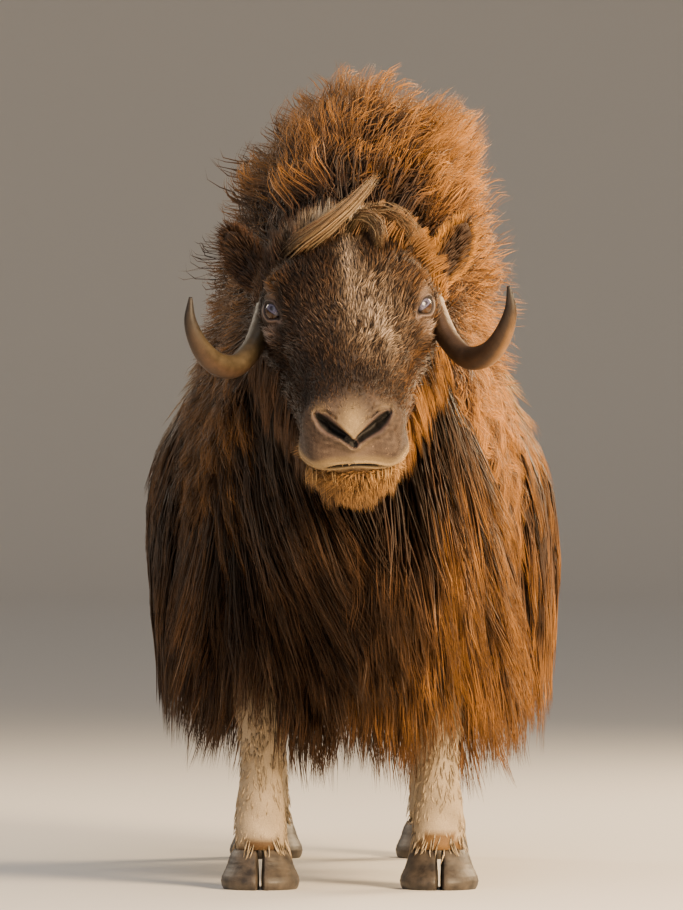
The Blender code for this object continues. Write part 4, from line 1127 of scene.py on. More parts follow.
def trunk_coat(name, count, density, seed, width, shares, shape, wool):
    """One piece of the long coat. shape gives each root its growth from (y, angle)."""
    rng = np.random.default_rng(seed)
    y, angle = sow_trunk(rng, count, density)
    order = rng.permutation(count)
    y, angle = y[order], angle[order]
    roots, outs = trunk_point(y, angle, 0), trunk_out(y, angle)
    keep = outside_head(roots) > -0.004
    y, angle, roots, outs = y[keep], angle[keep], roots[keep], outs[keep]
    count = len(y)
    guides = nearest_guides(roots, 9)
    leaders = nearest_guides(roots, 80)
    draw = drawing(rng, count)
    both = sharing(draw, guides)
    length, start, pull, bend, layer = shape(y, angle, outs, both)
    near = -0.030 + BODY_NEAR * (1 - mane_share(y)) * ease(np.degrees(np.abs(angle)), 40, 75)
    paths, ways = fall(roots - outs * 0.004, start, pull, length, bend, (near, layer), shares)
    paths = gather(paths, leaders, both(0.10, 0.45, 0.5), 1.8, shares)
    paths = gather(paths, guides, both(0.45, 0.92, 0.5), 1.3, shares)
    side = unit(np.cross(unit(np.gradient(paths, axis=1)), ways))
    beat, size = wool
    swing = both(0, 6.28, 0.12)[:, None] + shares[None] * (length * 2 * math.pi / both(*beat, 0.3))[:, None]
    grown = ease(shares, 0.10, 0.55)[None] * both(*size, 0.3)[:, None]
    paths = paths + side * (np.sin(swing) * grown)[..., None]
    paths = paths + ways * (np.cos(swing * 1.1) * grown * 0.6)[..., None]
    paths = hold_in(paths)
    light = np.exp(both(-0.80, 0.42, 0.25) + draw(-0.18, 0.18))
    pale = draw(0, 1) < PALE_STRANDS
    root_c, half_c, tip_c = body_markings(trunk_point(y, angle, 1))
    tip_c = mix(tip_c, GREY * 1.2, 0.6 * pale)

    def tints(shares):
        even = 0 * light[:, None]
        low = mix(root_c[:, None, :], half_c[:, None, :], ease(shares, 0.20, 0.66)[None, :] + even)
        full = mix(low, tip_c[:, None, :], ease(shares, 0.60, 1.0)[None, :] + even)
        return full * light[:, None, None]

    uv = fit_patches(np.stack([angle, y], axis=-1))
    widths = width * np.exp(draw(-0.4, 0.4))
    return hair_mesh(name, paths, ways, widths, 0.30, tints, uv, shares, taper(shares, 0.6, 0.35))


def mane_shape(y, angle, outs, both):
    """The crimped hair of neck and hump, standing and blown over, and the long hair at the neck's sides."""
    length, stand, rise, blown, hang = columns_at(MANE, np.degrees(angle))
    over = np.stack([np.cos(angle), 0 * angle, -np.sin(angle)], axis=-1) * blown[:, None]
    over = over + DOWN * (hang - rise)[:, None]
    lean = np.stack([both(-0.30, 0.30, 0.4), both(-0.30, 0.30, 0.4), both(-0.15, 0.15, 0.4)], axis=-1)
    throat = ease(-y, 0.34, 0.56) * hang
    drift = WIND * (throat * np.where(angle < 0.3, 0.70, 0.12))[:, None]
    start = outs * stand[:, None] + over + BACK * 0.22 + lean
    back = (MANE_BACK * (1 - hang) * (1 - 0.5 * ease(angle, 0.2, 0.5)))[:, None]
    pull = unit(outs * stand[:, None] * 0.4 + over + BACK * back + lean + drift)
    vary = np.exp(both(-0.30, 0.14, 0.3))
    layer = (0.062 - 0.036 * hang) * both(0.1, 1.0, 0.3)
    return length * vary, start, pull, 0.34 + 0 * y, layer


def body_shape(y, angle, outs, both):
    """The long straight hair that hangs down both sides and over the rump."""
    length, stand = columns_at(BODY, np.degrees(np.abs(angle)))
    lean = np.stack([0 * y, both(-0.16, 0.16, 0.4), 0 * y], axis=-1)
    rump = ease(y, 0.76, 0.88)
    along = (1 - ease(np.degrees(np.abs(angle)), 10, 55))[:, None] * BACK * (0.9 * (1 - 0.85 * rump))[:, None]
    stand = stand * (1 - 0.5 * rump)
    start = outs * stand[:, None] + DOWN * 0.9 + along + lean
    pull = unit(DOWN + along * 0.8 + lean * (1 - rump)[:, None])
    vary = np.exp(both(-0.25, 0.12, 0.3))
    lift = read(BODY_LIFT, np.degrees(np.abs(angle)))
    lift = lift + 0.016 * ease(angle, 0.9, 1.5) * (1 - ease(y, 0.25, 0.55))
    return length * vary * (1 - 0.25 * rump), start, pull, 0.42 + 0.2 * rump, lift * both(0.05, 1.0, 0.3)


def mesh_roots(rng, made, count, weigh):
    """Roots on a mesh, as dense as weigh says of each face's middle: their places and ways out."""
    mesh = made.data
    mesh.calc_loop_triangles()
    corners = np.empty(len(mesh.loop_triangles) * 3, np.int32)
    mesh.loop_triangles.foreach_get("vertices", corners)
    corners = corners.reshape(-1, 3)
    points, normals = points_of(made), normals_of(made)
    a, b, c = (points[corners[:, i]] for i in range(3))
    area = np.linalg.norm(np.cross(b - a, c - a), axis=1)
    run = np.cumsum(area * weigh((a + b + c) / 3))
    pick = pick_by_weight(rng, run, count)
    u, v = rng.random(count), rng.random(count)
    flip = u + v > 1
    u, v = np.where(flip, 1 - u, u), np.where(flip, 1 - v, v)
    share = np.stack([1 - u - v, u, v], axis=-1)[..., None]
    place = (points[corners[pick]] * share).sum(axis=1)
    out = unit((normals[corners[pick]] * share).sum(axis=1))
    return place, out


def face_growth(local):
    """Length, lift and lie of the face's hair at places of the head's frame."""
    x, f, h = local[:, 0], local[:, 1], local[:, 2]
    length = read(FACE_LENGTH, f)
    cheek = ease(-h, 0.030, 0.120) * (1 - ease(f, 0.10, 0.20))
    chin = ease(f, 0.175, 0.225) * ease(-h, 0.088, 0.108)
    poll = spot(local, (-0.006, -0.118, 0.070), (0.075, 0.035, 0.06))
    length = length + 0.026 * cheek + 0.034 * chin + 0.012 * poll
    apart = from_eye(local)
    length = np.where(apart < 3.4, np.minimum(length, 0.0030 + 0.016 * ease(apart, 1.3, 3.4)), length)
    lie = np.stack([0.40 * x / 0.1, -1 + 0.55 * cheek, -0.35 * cheek], axis=-1)
    lie = lie + 0.45 * np.stack([waves(local, 0.055, 21), 0 * x, waves(local, 0.055, 22)], axis=-1)
    lift = 0.42 + 0.25 * poll + 0.10 * cheek - 0.15 * ease(f, 0.18, 0.24)
    return length, lie, lift, cheek, chin, poll


def grow(place, out, start, pull, length, bend, steps, sink=0.0012):
    """Paths of short hair from roots, with the way out at every point."""
    ahead = unit(start)
    path = [place - out * sink]
    for _ in range(steps):
        path.append(path[-1] + ahead * (length / steps)[:, None])
        ahead = unit(ahead * (1 - bend) + pull * bend)
    return np.stack(path, axis=1), np.repeat(out[:, None, :], steps + 1, axis=1)


def short_hair(name, paths, outs, widths, ridge, root, tip, light, rate, roots_uv, full=0.3):
    """Strands from root colour to tip colour, the sooner the higher the rate, widest at share full."""
    along = np.linspace(0, 1, paths.shape[1])

    def tints(shares):
        share = np.clip(shares * rate, 0, 1)[None, :] + 0 * light[:, None]
        return mix(root[:, None, :], tip[:, None, :], share) * light[:, None, None]

    return hair_mesh(name, paths, outs, widths, ridge, tints, roots_uv, along, taper(along, 0.7, full))


def fit_patches(uv):
    """Roots' places fitted into the unit square, with room for each strand's own patch."""
    return (uv - uv.min(axis=0)) / np.maximum(np.ptp(uv, axis=0), 1e-6) * PATCH_ROOM + PATCH_EDGE


def head_unwrap(local):
    return fit_patches(np.stack([np.arctan2(local[:, 0], local[:, 2] + 0.06), local[:, 1]], axis=-1))


def face_coat(name, head, count, seed, width, steps, weigh):
    """Short hair over the face, lying back from the nose, longer on cheeks, chin and poll."""
    rng = np.random.default_rng(seed)
    place, out = mesh_roots(rng, head, count, weigh)
    place = place - SHIFT
    local = to_head(place)
    keep = (from_eye(local) > 1.24) & (bare_share(local) < 0.5)
    place, out, local = place[keep], out[keep], local[keep]
    length, lie, lift, cheek, chin, poll = face_growth(local)
    count = len(place)
    guides = nearest_guides(place, 7)
    draw = drawing(rng, count)
    lie = turn_from_head(lie)
    lie = lie + np.stack([draw(-0.35, 0.35), draw(-0.15, 0.15), draw(-0.35, 0.35)], axis=-1)
    lie = unit(lie - out * (lie * out).sum(axis=1, keepdims=True))
    start = lie + out * (lift * np.exp(draw(-0.4, 0.4)))[:, None]
    pull = unit(lie + out * 0.14 + DOWN * (1.2 * cheek + 2.2 * chin)[:, None] + WIND * (0.5 * poll)[:, None])
    length = length * np.exp(draw(-0.3, 0.25))
    paths, ways = grow(place, out, start, pull, length, 0.45, steps)
    paths = gather(paths, guides, draw(0.2, 0.75), 1.4)
    root_c, tip_c = head_markings(local)
    light = np.exp(draw(-0.40, 0.30) + 0.22 * waves(local, 0.016, 31))
    widths = (width + 0.035 * np.maximum(length - 0.02, 0)) * np.exp(draw(-0.3, 0.3))
    widths = widths * (0.55 + 0.45 * ease(length, 0.004, 0.014))
    return short_hair(name, paths, ways, widths, 0.4, root_c, tip_c, light, 1.25, head_unwrap(local))


def head_hair(head, count, width, steps):
    """The long hair of the poll, the cheeks, the jaw and the chin."""
    rng = np.random.default_rng(SEED + 40)

    def weigh(places):
        local = to_head(places - SHIFT)
        x, f, h = local[:, 0], local[:, 1], local[:, 2]
        crown = ease(-f, 0.050, 0.100) * ease(h, -0.05, 0.0)
        cheek = ease(-h, 0.045, 0.10) * (1 - ease(f, 0.06, 0.16)) * ease(np.abs(x), 0.03, 0.07)
        beard = ease(-h, 0.100, 0.118) * ease(f, 0.04, 0.09) + ease(-h, 0.086, 0.094) * ease(f, 0.255, 0.268)
        return 1.5 * crown + 0.8 * cheek + 1.2 * beard

    place, out = mesh_roots(rng, head, count, weigh)
    place = place - SHIFT
    local = to_head(place)
    x, f, h = local[:, 0], local[:, 1], local[:, 2]
    crown = ease(h, -0.045, -0.01)[:, None]
    draw = drawing(rng, count)
    guides = nearest_guides(place, 8)
    both = sharing(draw, guides)
    spill = np.stack([both(-0.35, 0.35), both(-0.3, 0.3), both(-0.2, 0.2)], axis=-1)
    length = np.where(h > -0.045, CROWN_LENGTH, read(JAW_LENGTH, f)) * np.exp(both(-0.35, 0.2))
    above = out * 0.9 + turn_from_head(np.array([[0.0, -0.5, 0.2]])) + spill + WIND * 0.2
    below = out * 0.42 + DOWN * 0.75 + BACK * 0.25 + spill * 0.5
    to_above = WIND * 0.40 + BACK * 0.30 + out * 0.60 - DOWN * 0.25 + spill
    to_below = DOWN * 1.0 + BACK * 0.12 + WIND * np.where(x < 0.02, 0.30, 0.05)[:, None] + spill * 0.5
    start = above * crown + below * (1 - crown)
    pull = unit(to_above * crown + to_below * (1 - crown))
    paths, ways = grow(place, out, start, pull, length, 0.42, steps, 0.003)
    paths = gather(paths, guides, both(0.4, 0.9) * (1 - 0.6 * ease(f, 0.12, 0.2)), 1.3)
    root_c, tip_c = head_markings(local)
    # The hair beside the face and on the crown is painted golder on her left side: painted light.
    painted_lit_side_c = mix(UMBER * 0.95, OCHRE * 0.75, ease(x, -0.02, 0.10))
    beard = ease(f, 0.14, 0.20)
    fall_c = mix(painted_lit_side_c, tip_c, beard)
    cream = spot(local, (-0.006, -0.108, 0.070), (0.050, 0.026, 0.05)) * 1.3
    crown_c = mix(mix(UMBER * 0.8, OCHRE * 0.62, ease(x, -0.05, 0.10)), CREAM * 0.85, np.clip(cream, 0, 1))
    tip_c = crown_c * crown + fall_c * (1 - crown)
    light = np.exp(both(-0.5, 0.3) + draw(-0.15, 0.15))
    widths = width * np.exp(draw(-0.3, 0.3))
    return short_hair("head_hair", paths, ways, widths, 0.35, tip_c * 0.22, tip_c, light, 1.1,
                      head_unwrap(local))


def boss_fur(count, width, steps):
    """Hair over the horns' roots, lying up and back from the brow."""
    rng = np.random.default_rng(SEED + 45)
    rows = spread(HORN, BOSS_STEPS)
    ahead = unit(np.gradient(rows[:, :3], axis=0))
    side = rng.choice((1, -1), count)
    pick = rng.integers(0, int(BOSS_STEPS * BOSS_SHARE), count)
    angle = rng.uniform(0, 2 * math.pi, count)
    across = unit(np.cross(ahead[pick], np.array((0.0, 1.0, 0.0))))
    lift = np.cross(ahead[pick], across)
    out = np.cos(angle)[:, None] * across + np.sin(angle)[:, None] * lift
    mirror = np.stack([side, 0 * side + 1, 0 * side + 1], axis=-1)
    place = (rows[pick, :3] + out * rows[pick, 3:] * 0.9) * mirror
    out = out * mirror
    share = pick / (BOSS_STEPS * BOSS_SHARE)
    draw = drawing(rng, count)
    lie = -ahead[pick] * mirror * 0.5 + BACK * 0.4 + np.array((0.0, 0.0, 0.35))
    lie = lie + np.stack([draw(-0.4, 0.4), draw(-0.3, 0.3), draw(-0.4, 0.4)], axis=-1)
    start = unit(lie) + out * 0.7
    length = (0.040 - 0.020 * share) * np.exp(draw(-0.3, 0.25))
    paths, ways = grow(rolled(place), out, start, unit(lie + out * 0.2), length, 0.4, steps, 0.003)
    paths = gather(paths, nearest_guides(place, 7), draw(0.2, 0.7), 1.4)
    # Boss fur painted ochre on her left and umber on her right: painted light.
    boss_with_painted_light = mix(UMBER * 1.35, OCHRE * 0.85, 1.0 * (side > 0))
    pale = mix(boss_with_painted_light, CREAM * 0.55, 0.55 * (side < 0) * (1 - share))
    light = np.exp(draw(-0.45, 0.3))
    uv = fit_patches(np.stack([angle + 7 * (side > 0), share], axis=-1))
    widths = width * np.exp(draw(-0.3, 0.3))
    return short_hair("boss_fur", paths, ways, widths, 0.4, pale * 0.3, pale, light, 1.3, uv)


def forelock(count, width, steps):
    """The long pale lock blown up from the brow, with its short branches."""
    rng = np.random.default_rng(SEED + 46)
    paths, lights, uvs = [], [], []
    shares = np.linspace(0, 1, steps + 1)
    for number, (route, reach, spare) in enumerate(FORELOCK):
        line = spread(np.array(route), steps + 1)
        own = int(count * spare)
        spread_at = reach * (1 - 0.62 * shares)
        shift = rng.normal(size=(own, 1, 3)) * spread_at[None, :, None] * 0.45
        wave = np.sin(shares[None] * rng.uniform(3, 6, (own, 1)) + rng.uniform(0, 6.28, (own, 1)))
        shift = shift + (wave * 0.011 * shares)[..., None] * np.array((0.4, 0.3, 1.0))
        cut = rng.uniform(0.75, 1.0, (own, 1, 1))
        scaled = line[:1][None] + (line[None] - line[:1][None]) * cut
        paths.append(from_head(scaled + shift))
        lights.append(np.exp(rng.uniform(-0.5, 0.3, own)))
        uvs.append(np.stack([number * 0.3 + rng.uniform(0, 0.25, own), rng.uniform(0, 1, own)], axis=-1))
    paths, light, uv = np.concatenate(paths), np.concatenate(lights), fit_patches(np.concatenate(uvs))
    ways = unit(paths - from_head(np.array((0.0, -0.10, -0.05))))
    tip = mix(UMBER * 1.3, SADDLE * 0.50, rng.uniform(0, 1, len(paths)) ** 0.8)
    widths = width * np.exp(rng.uniform(-0.3, 0.3, len(paths)))
    return short_hair("forelock", paths, ways, widths, 0.35, tip * 0.4, tip, light, 1.8, uv, 0.45)


def bare_share(local):
    """1 where the nose and the lips' edges are bare skin."""
    bare = 1 - ease(in_mouth(local), 0.9, 1.4)
    for side in (1, -1):
        bare = np.maximum(bare, 1 - ease(in_nostril(local, side), 1.15, 1.6))
    return bare


def leg_coat(count, width, steps):
    """Short pale hair lying down the legs, and a fringe over the hooves."""
    rng = np.random.default_rng(SEED + 50)
    share = count // 4
    parts, outs, uvs = [], [], []
    for leg, (rows, side) in enumerate((r, s) for r in (FRONT_LEG, HIND_LEG) for s in (1, -1)):
        table = along_rows(rows, slice(0, 3))
        run = (np.arange(share) + rng.random(share)) / share * table[-1, 0]
        angle = rng.uniform(0, 2 * math.pi, share)
        x, y, z, wide, long = columns_at(table, run)
        place = np.stack([
            side * (x + (wide - LEG_FUR) * np.sin(angle)), y + (long - LEG_FUR) * np.cos(angle), z], axis=-1)
        parts.append(place)
        outs.append(unit(np.stack([side * np.sin(angle) / wide, np.cos(angle) / long, 0 * z], axis=-1)))
        uvs.append(np.stack([(leg + 0.95 * angle / (2 * math.pi)) / 4, run / table[-1, 0]], axis=-1))
    place, out, uv = np.concatenate(parts), np.concatenate(outs), np.concatenate(uvs)
    count = len(place)
    draw = drawing(rng, count)
    fringe = 1 - ease(place[:, 2], 0.066, 0.10)
    high = ease(place[:, 2], 0.30, 0.5)
    length = (0.018 + 0.012 * fringe + 0.030 * high) * np.exp(draw(-0.25, 0.25))
    lie = np.stack([draw(-0.25, 0.25), draw(-0.25, 0.25) + 0.1, -1 + 0 * high], axis=-1)
    lie = unit(lie - out * (lie * out).sum(axis=1, keepdims=True))
    start = lie + out * (0.32 + 0.25 * fringe)[:, None]
    paths, ways = grow(place, out, start, lie, length, 0.3, steps)
    paths = gather(paths, nearest_guides(place, 7), draw(0.2, 0.7), 1.4)
    paths[..., 2] = np.maximum(paths[..., 2], FRINGE_LOWEST)
    root_c, tip_c = leg_markings(place)
    light = np.exp(draw(-0.35, 0.25))
    widths = width * np.exp(draw(-0.25, 0.25))
    return short_hair("leg_fur", paths, ways, widths, 0.35, root_c * 0.7, tip_c, light, 1.5, fit_patches(uv))


def node(tree, kind, **values):
    made = tree.nodes.new(kind)
    for name, value in values.items():
        setattr(made, name, value)
    return made


def new_material(name, roughness, specular=0.5):
    material = bpy.data.materials.new(name)
    material.use_nodes = True
    shader = material.node_tree.nodes["Principled BSDF"]
    shader.inputs["Roughness"].default_value = roughness
    shader.inputs["Specular IOR Level"].default_value = specular
    return material, material.node_tree, shader


def noise(tree, vector, scale, detail=3.0, rough=0.55):
    made = node(tree, "ShaderNodeTexNoise")
    made.inputs["Scale"].default_value = scale
    made.inputs["Detail"].default_value = detail
    made.inputs["Roughness"].default_value = rough
    tree.links.new(vector, made.inputs["Vector"])
    return made.outputs["Fac"]


def tint_and_place(tree):
    """The colour stored for each vertex, and the place on the object."""
    tint = node(tree, "ShaderNodeAttribute", attribute_name="tint")
    return tint.outputs["Color"], node(tree, "ShaderNodeTexCoord").outputs["Object"]


def ramp(tree, value, stops):
    """Colours run between stops of (position, colour)."""
    made = node(tree, "ShaderNodeValToRGB")
    while len(made.color_ramp.elements) < len(stops):
        made.color_ramp.elements.new(0.5)
    for element, (position, colour) in zip(made.color_ramp.elements, stops):
        element.position = position
        element.color = colour
    tree.links.new(value, made.inputs["Fac"])
    return made.outputs["Color"]


def combine(tree, operation, a, b):
    made = node(tree, "ShaderNodeMath", operation=operation)
    tree.links.new(a, made.inputs[0])
    tree.links.new(b, made.inputs[1])
    return made.outputs[0]


def span(tree, value, low, high, to_low, to_high):
    made = node(tree, "ShaderNodeMapRange")
    for name, number in zip(("From Min", "From Max", "To Min", "To Max"), (low, high, to_low, to_high)):
        made.inputs[name].default_value = number
    tree.links.new(value, made.inputs["Value"])
    return made.outputs["Result"]


def brighten(tree, colour, factor):
    made = node(tree, "ShaderNodeMix", data_type="RGBA", blend_type="MULTIPLY")
    made.inputs["Factor"].default_value = 1.0
    tree.links.new(colour, made.inputs[6])
    tree.links.new(factor, made.inputs[7])
    return made.outputs[2]


def bump(tree, shader, height, distance, strength=1.0):
    made = node(tree, "ShaderNodeBump")
    made.inputs["Distance"].default_value = distance
    made.inputs["Strength"].default_value = strength
    tree.links.new(height, made.inputs["Height"])
    tree.links.new(made.outputs["Normal"], shader.inputs["Normal"])


def hair_material(name, roughness, specular):
    """The tint of each strand, with fine streaks."""
    material, tree, shader = new_material(name, roughness, specular)
    tint, place = tint_and_place(tree)
    streak = span(tree, noise(tree, place, 420.0, 2.0), 0.3, 0.7, 0.72, 1.25)
    tree.links.new(brighten(tree, tint, streak), shader.inputs["Base Color"])
    return material


def skin_material():
    material, tree, shader = new_material("skin", 0.62, 0.35)
    tint, place = tint_and_place(tree)
    fine = noise(tree, place, 900.0, 3.0)
    tree.links.new(brighten(tree, tint, span(tree, fine, 0.3, 0.7, 0.7, 1.3)), shader.inputs["Base Color"])
    bump(tree, shader, fine, 0.0012, 0.8)
    return material


def tint_skin(skin):
    """The skin's colours: the coat's markings at their roots, and bare skin on nose, lids and lips, with
    painted shade in the nostrils and the mouth's groove.
    """
    points = points_of(skin) - SHIFT
    local = to_head(points)
    root, half, tip = body_markings(points)
    colour = mix(root, half, 0.35)
    on_leg = (points[:, 2] < 0.56) & (outside_trunk(points)[0] > -0.02)
    leg_root, leg_tip = leg_markings(points)
    colour[on_leg] = (leg_root * 0.6 + leg_tip * 0.4)[on_leg]
    off = outside_head(points)
    on_head = (off < 0.030) & (local[:, 1] > -0.16) & (off > -0.05)
    on_head |= (local[:, 1] > 0.2) & (local[:, 1] < 0.33)
    head_root, head_tip = head_markings(local)
    face = mix(head_root, head_tip, 0.12)
    for side in (1, -1):
        ratio = in_nostril(local, side)
        face = mix(face, BARE_SKIN * 1.1, 0.8 * (1 - ease(ratio, 1.2, 1.6)))
        # Near black inside the nostrils: painted shade in the hollows.
        face = mix(face, BARE_SKIN * 0.06, 1 - ease(ratio, 0.85, 1.20))
    # Dark lip skin, with painted shade in the mouth's groove.
    face = mix(face, BARE_SKIN * 0.12, 1 - ease(in_mouth(local), 0.9, 1.5))
    for side in (1, -1):
        apart, above, off, _ = lid_place(local, side)
        apart = apart * np.maximum(off / LID_FADE, 1)
        rim = 1.09 + 0.10 * ease(above, 0.0, 0.3)
        face = mix(face, LID_SKIN, (0.75 - 0.35 * ease(above, -0.1, 0.3)) * (1 - ease(apart, 1.25, 1.7)))
        face = mix(face, LID_EDGE, 1 - ease(apart, rim - 0.08, rim + 0.06))
    colour[on_head] = face[on_head]
    write_tint(skin, colour)


def ear_coat(count, width, steps):
    """Hair of the ears: dense behind and along the edges, with wisps out of the cup."""
    rng = np.random.default_rng(SEED + 60)
    places, outs, lies, colours, uvs, lengths = [], [], [], [], [], []
    for side in (1, -1):
        axis, facing, across = ear_axes(side)
        share = rng.uniform(-0.05, 1.0, count)
        wide = smooth_rows(EAR_OUTLINE, share)[:, 0]
        angle = rng.uniform(0, 2 * math.pi, count)
        front = ease(np.sin(angle), 0.1, 0.5) * (1 - np.abs(np.cos(angle)) ** 3)
        inner = front * ease(share, 0.12, 0.35)
        keep = rng.random(count) > 0.25 * inner
        share, wide, angle, inner = share[keep], wide[keep], angle[keep], inner[keep]
        deep = np.sin(angle) * EAR_CUP / 2 * np.minimum(1.0, wide * 1.3) - inner * EAR_CUP * 0.72
        place = (EAR_ROOT * (side, 1, 1) + axis * share[:, None]
                 + across * (np.cos(angle) * wide * EAR_WIDTH / 2)[:, None] + facing * deep[:, None])
        places.append(rolled(place))
        outs.append(unit(across * (np.cos(angle) * 0.6)[:, None] + facing * np.sin(angle)[:, None]))
        lie = unit(axis) + across * (np.cos(angle) * 0.5)[:, None] + facing * (0.4 * inner)[:, None]
        lies.append(unit(lie))
        # The edges of the ear on her left side are painted gold: painted rim light.
        ear_colour_and_rim_light = mix(UMBER * 1.1, RIM_LIGHT_GOLD * 0.8 if side > 0 else UMBER, ease(np.abs(np.cos(angle)), 0.2, 0.9))
        colours.append(mix(ear_colour_and_rim_light, DEEP * 2, 0.7 * inner))
        lengths.append(0.013 + 0.010 * inner + 0.005 * share)
        uvs.append(np.stack([(side > 0) * 7.0 + angle, share], axis=-1))
    place, out, lie = np.concatenate(places), np.concatenate(outs), np.concatenate(lies)
    colour, uv, length = np.concatenate(colours), fit_patches(np.concatenate(uvs)), np.concatenate(lengths)
    count = len(place)
    draw = drawing(rng, count)
    start = lie + out * 0.35 + np.stack([draw(-0.25, 0.25), draw(-0.2, 0.2), draw(-0.2, 0.2)], axis=-1)
    paths, ways = grow(place, out, start, lie, length * np.exp(draw(-0.3, 0.25)), 0.3, steps)
    light = np.exp(draw(-0.35, 0.25))
    widths = width * np.exp(draw(-0.25, 0.25))
    return short_hair("ear_fur", paths, ways, widths, 0.35, colour * 0.4, colour, light, 1.2, uv)


def make_horn(side):
    """A horn with growth ridges near its base, smooth and dark towards the tip."""
    rows = spread(HORN, HORN_RINGS)
    path = rows[:, :3] * (side, 1, 1)
    share = np.linspace(0, 1, HORN_RINGS)
    rings = tube_rings(path, rows[:, 3] - 0.0003, HORN_SIDES, HORN_FLAT, (0, 1, 0))
    middle = rings.mean(axis=1, keepdims=True)
    angles = turn(HORN_SIDES)
    rough = (1 - ease(share, 0.35, 0.75))[:, None]
    ridge = 0.010 * np.sin(share * 150)[:, None] * rough + 0.012 * np.sin(share * 47 + 1.0)[:, None] * rough
    fibre = 0.010 * np.sin(angles * 11 + 2 * np.sin(share * 9)[:, None]) * rough
    rings = middle + (rings - middle) * (1 + ridge + fibre)[..., None]
    horn = loft("horn_left_keratin" if side > 0 else "horn_right_keratin", rolled(rings))
    along = np.repeat(share, HORN_SIDES)
    way = rolled(rings) - rolled(middle)
    way = unit(way).reshape(-1, 3)
    if side < 0:
        colour = mix(HORN_OLIVE, HORN_BROWN, ease(-way[:, 2], -0.2, 0.75))
    else:
        # The side of the left horn towards the key light is painted gold: painted light.
        colour = mix(HORN_BROWN, HORN_PAINTED_LIGHT, ease(0.9 * way[:, 0] - 0.3 * way[:, 2], -0.1, 0.8))
    colour = mix(colour, HORN_TIP, ease(along, 0.78, 0.97))
    colour = np.concatenate([colour, colour[:1], colour[-1:]])
    write_tint(horn, colour)
    return horn


def horn_material():
    material, tree, shader = new_material("horn", 0.46, 0.3)
    tint, place = tint_and_place(tree)
    blot = noise(tree, place, 55.0, 5.0, 0.65)
    fine = noise(tree, place, 650.0, 3.0, 0.6)
    colour = brighten(tree, tint, span(tree, blot, 0.3, 0.7, 0.62, 1.35))
    tree.links.new(brighten(tree, colour, span(tree, fine, 0.3, 0.7, 0.8, 1.2)), shader.inputs["Base Color"])
    tree.links.new(span(tree, blot, 0.3, 0.7, 0.40, 0.60), shader.inputs["Roughness"])
    bump(tree, shader, fine, 0.0006, 0.7)
    return material


def claw_outline(wide, long, back, count):
    a = turn(count)
    across = np.sin(a)
    x = wide * np.where(across > 0, across, across * CLAW_INNER)
    y = back - 0.5 * long * np.cos(a) * (1.0 - CLAW_NARROW * np.maximum(across, 0))
    return x, y


def make_claw(name, rows, side, way):
    foot = rows[-1]
    levels = spread(CLAW_LEVELS, 26, slice(0, 1))
    rings = []
    for i, (z, share, back) in enumerate(levels):
        grown = share * (1 + 0.006 * math.sin(z * 1700)) if CLAW_RINGED[0] < i < CLAW_RINGED[1] else share
        x, y = claw_outline(CLAW_WIDTH * grown, CLAW_LENGTH * grown, back - CLAW_FORWARD, CLAW_SIDES)
        middle = CLAW_APART / 2 + CLAW_WIDTH * CLAW_INNER
        rings.append(np.stack([side * (foot[0] + way * (middle + x)), foot[1] + y, z + 0 * x], axis=-1))
    return loft(name, rings)


def make_dewclaws(rows, side):
    """The two small claws behind a foot."""
    foot = rows[-2]
    made = []
    for way in (1, -1):
        sideways = side * (foot[0] + way * 0.5 * foot[3])
        root = np.array((sideways, foot[1] + 0.4 * DEWCLAW_BACK, DEWCLAW_HEIGHT))
        tip = root + np.array((way * side * 0.004, DEWCLAW_BACK, -0.022))
        t = np.linspace(0, 1, 14)[:, None]
        radii = DEWCLAW_RADIUS * np.interp(t[:, 0], (0, 0.5, 0.8, 1), (1, 1, 0.8, 0.25))
        made.append(loft("dewclaw", tube_rings(root + (tip - root) * t, radii, 20)))
    return made


def hoof_material():
    material, tree, shader = new_material("hoof", 0.48, 0.45)
    place = node(tree, "ShaderNodeTexCoord").outputs["Object"]
    blot = noise(tree, place, 40.0, 5.0, 0.6)
    tree.links.new(ramp(tree, blot, HOOF_STOPS), shader.inputs["Base Color"])
    bump(tree, shader, noise(tree, place, 500.0, 3.0), 0.0006, 0.7)
    return material


def make_eyeball(side):
    """An eyeball with a raised cornea, its local Z along the gaze and X along the lids."""
    look, _, up = eye_axes(side)
    mesh = bpy.data.meshes.new("eye")
    work = bmesh.new()
    bmesh.ops.create_uvsphere(work, u_segments=64, v_segments=48, radius=EYE_RADIUS - 0.0002)
    for vertex in work.verts:
        way = vertex.co.normalized()
        vertex.co += way * 0.0012 * float(ease(way.z, 0.72, 0.92))
    for face in work.faces:
        face.smooth = True
    work.to_mesh(mesh)
    work.free()
    made = bpy.data.objects.new("eye_left_ball" if side > 0 else "eye_right_ball", mesh)
    bpy.context.scene.collection.objects.link(made)
    centre = from_head(EYE_PLACE * (side, 1, 1)) + SHIFT
    look, up = unit(turn_from_head(look)), unit(turn_from_head(up))
    up = unit(up * math.copysign(1, up[2]))
    along = np.cross(up, look)
    made.matrix_world = Matrix((
        (along[0], up[0], look[0], centre[0]),
        (along[1], up[1], look[1], centre[1]),
        (along[2], up[2], look[2], centre[2]),
        (0, 0, 0, 1),
    ))
    return made


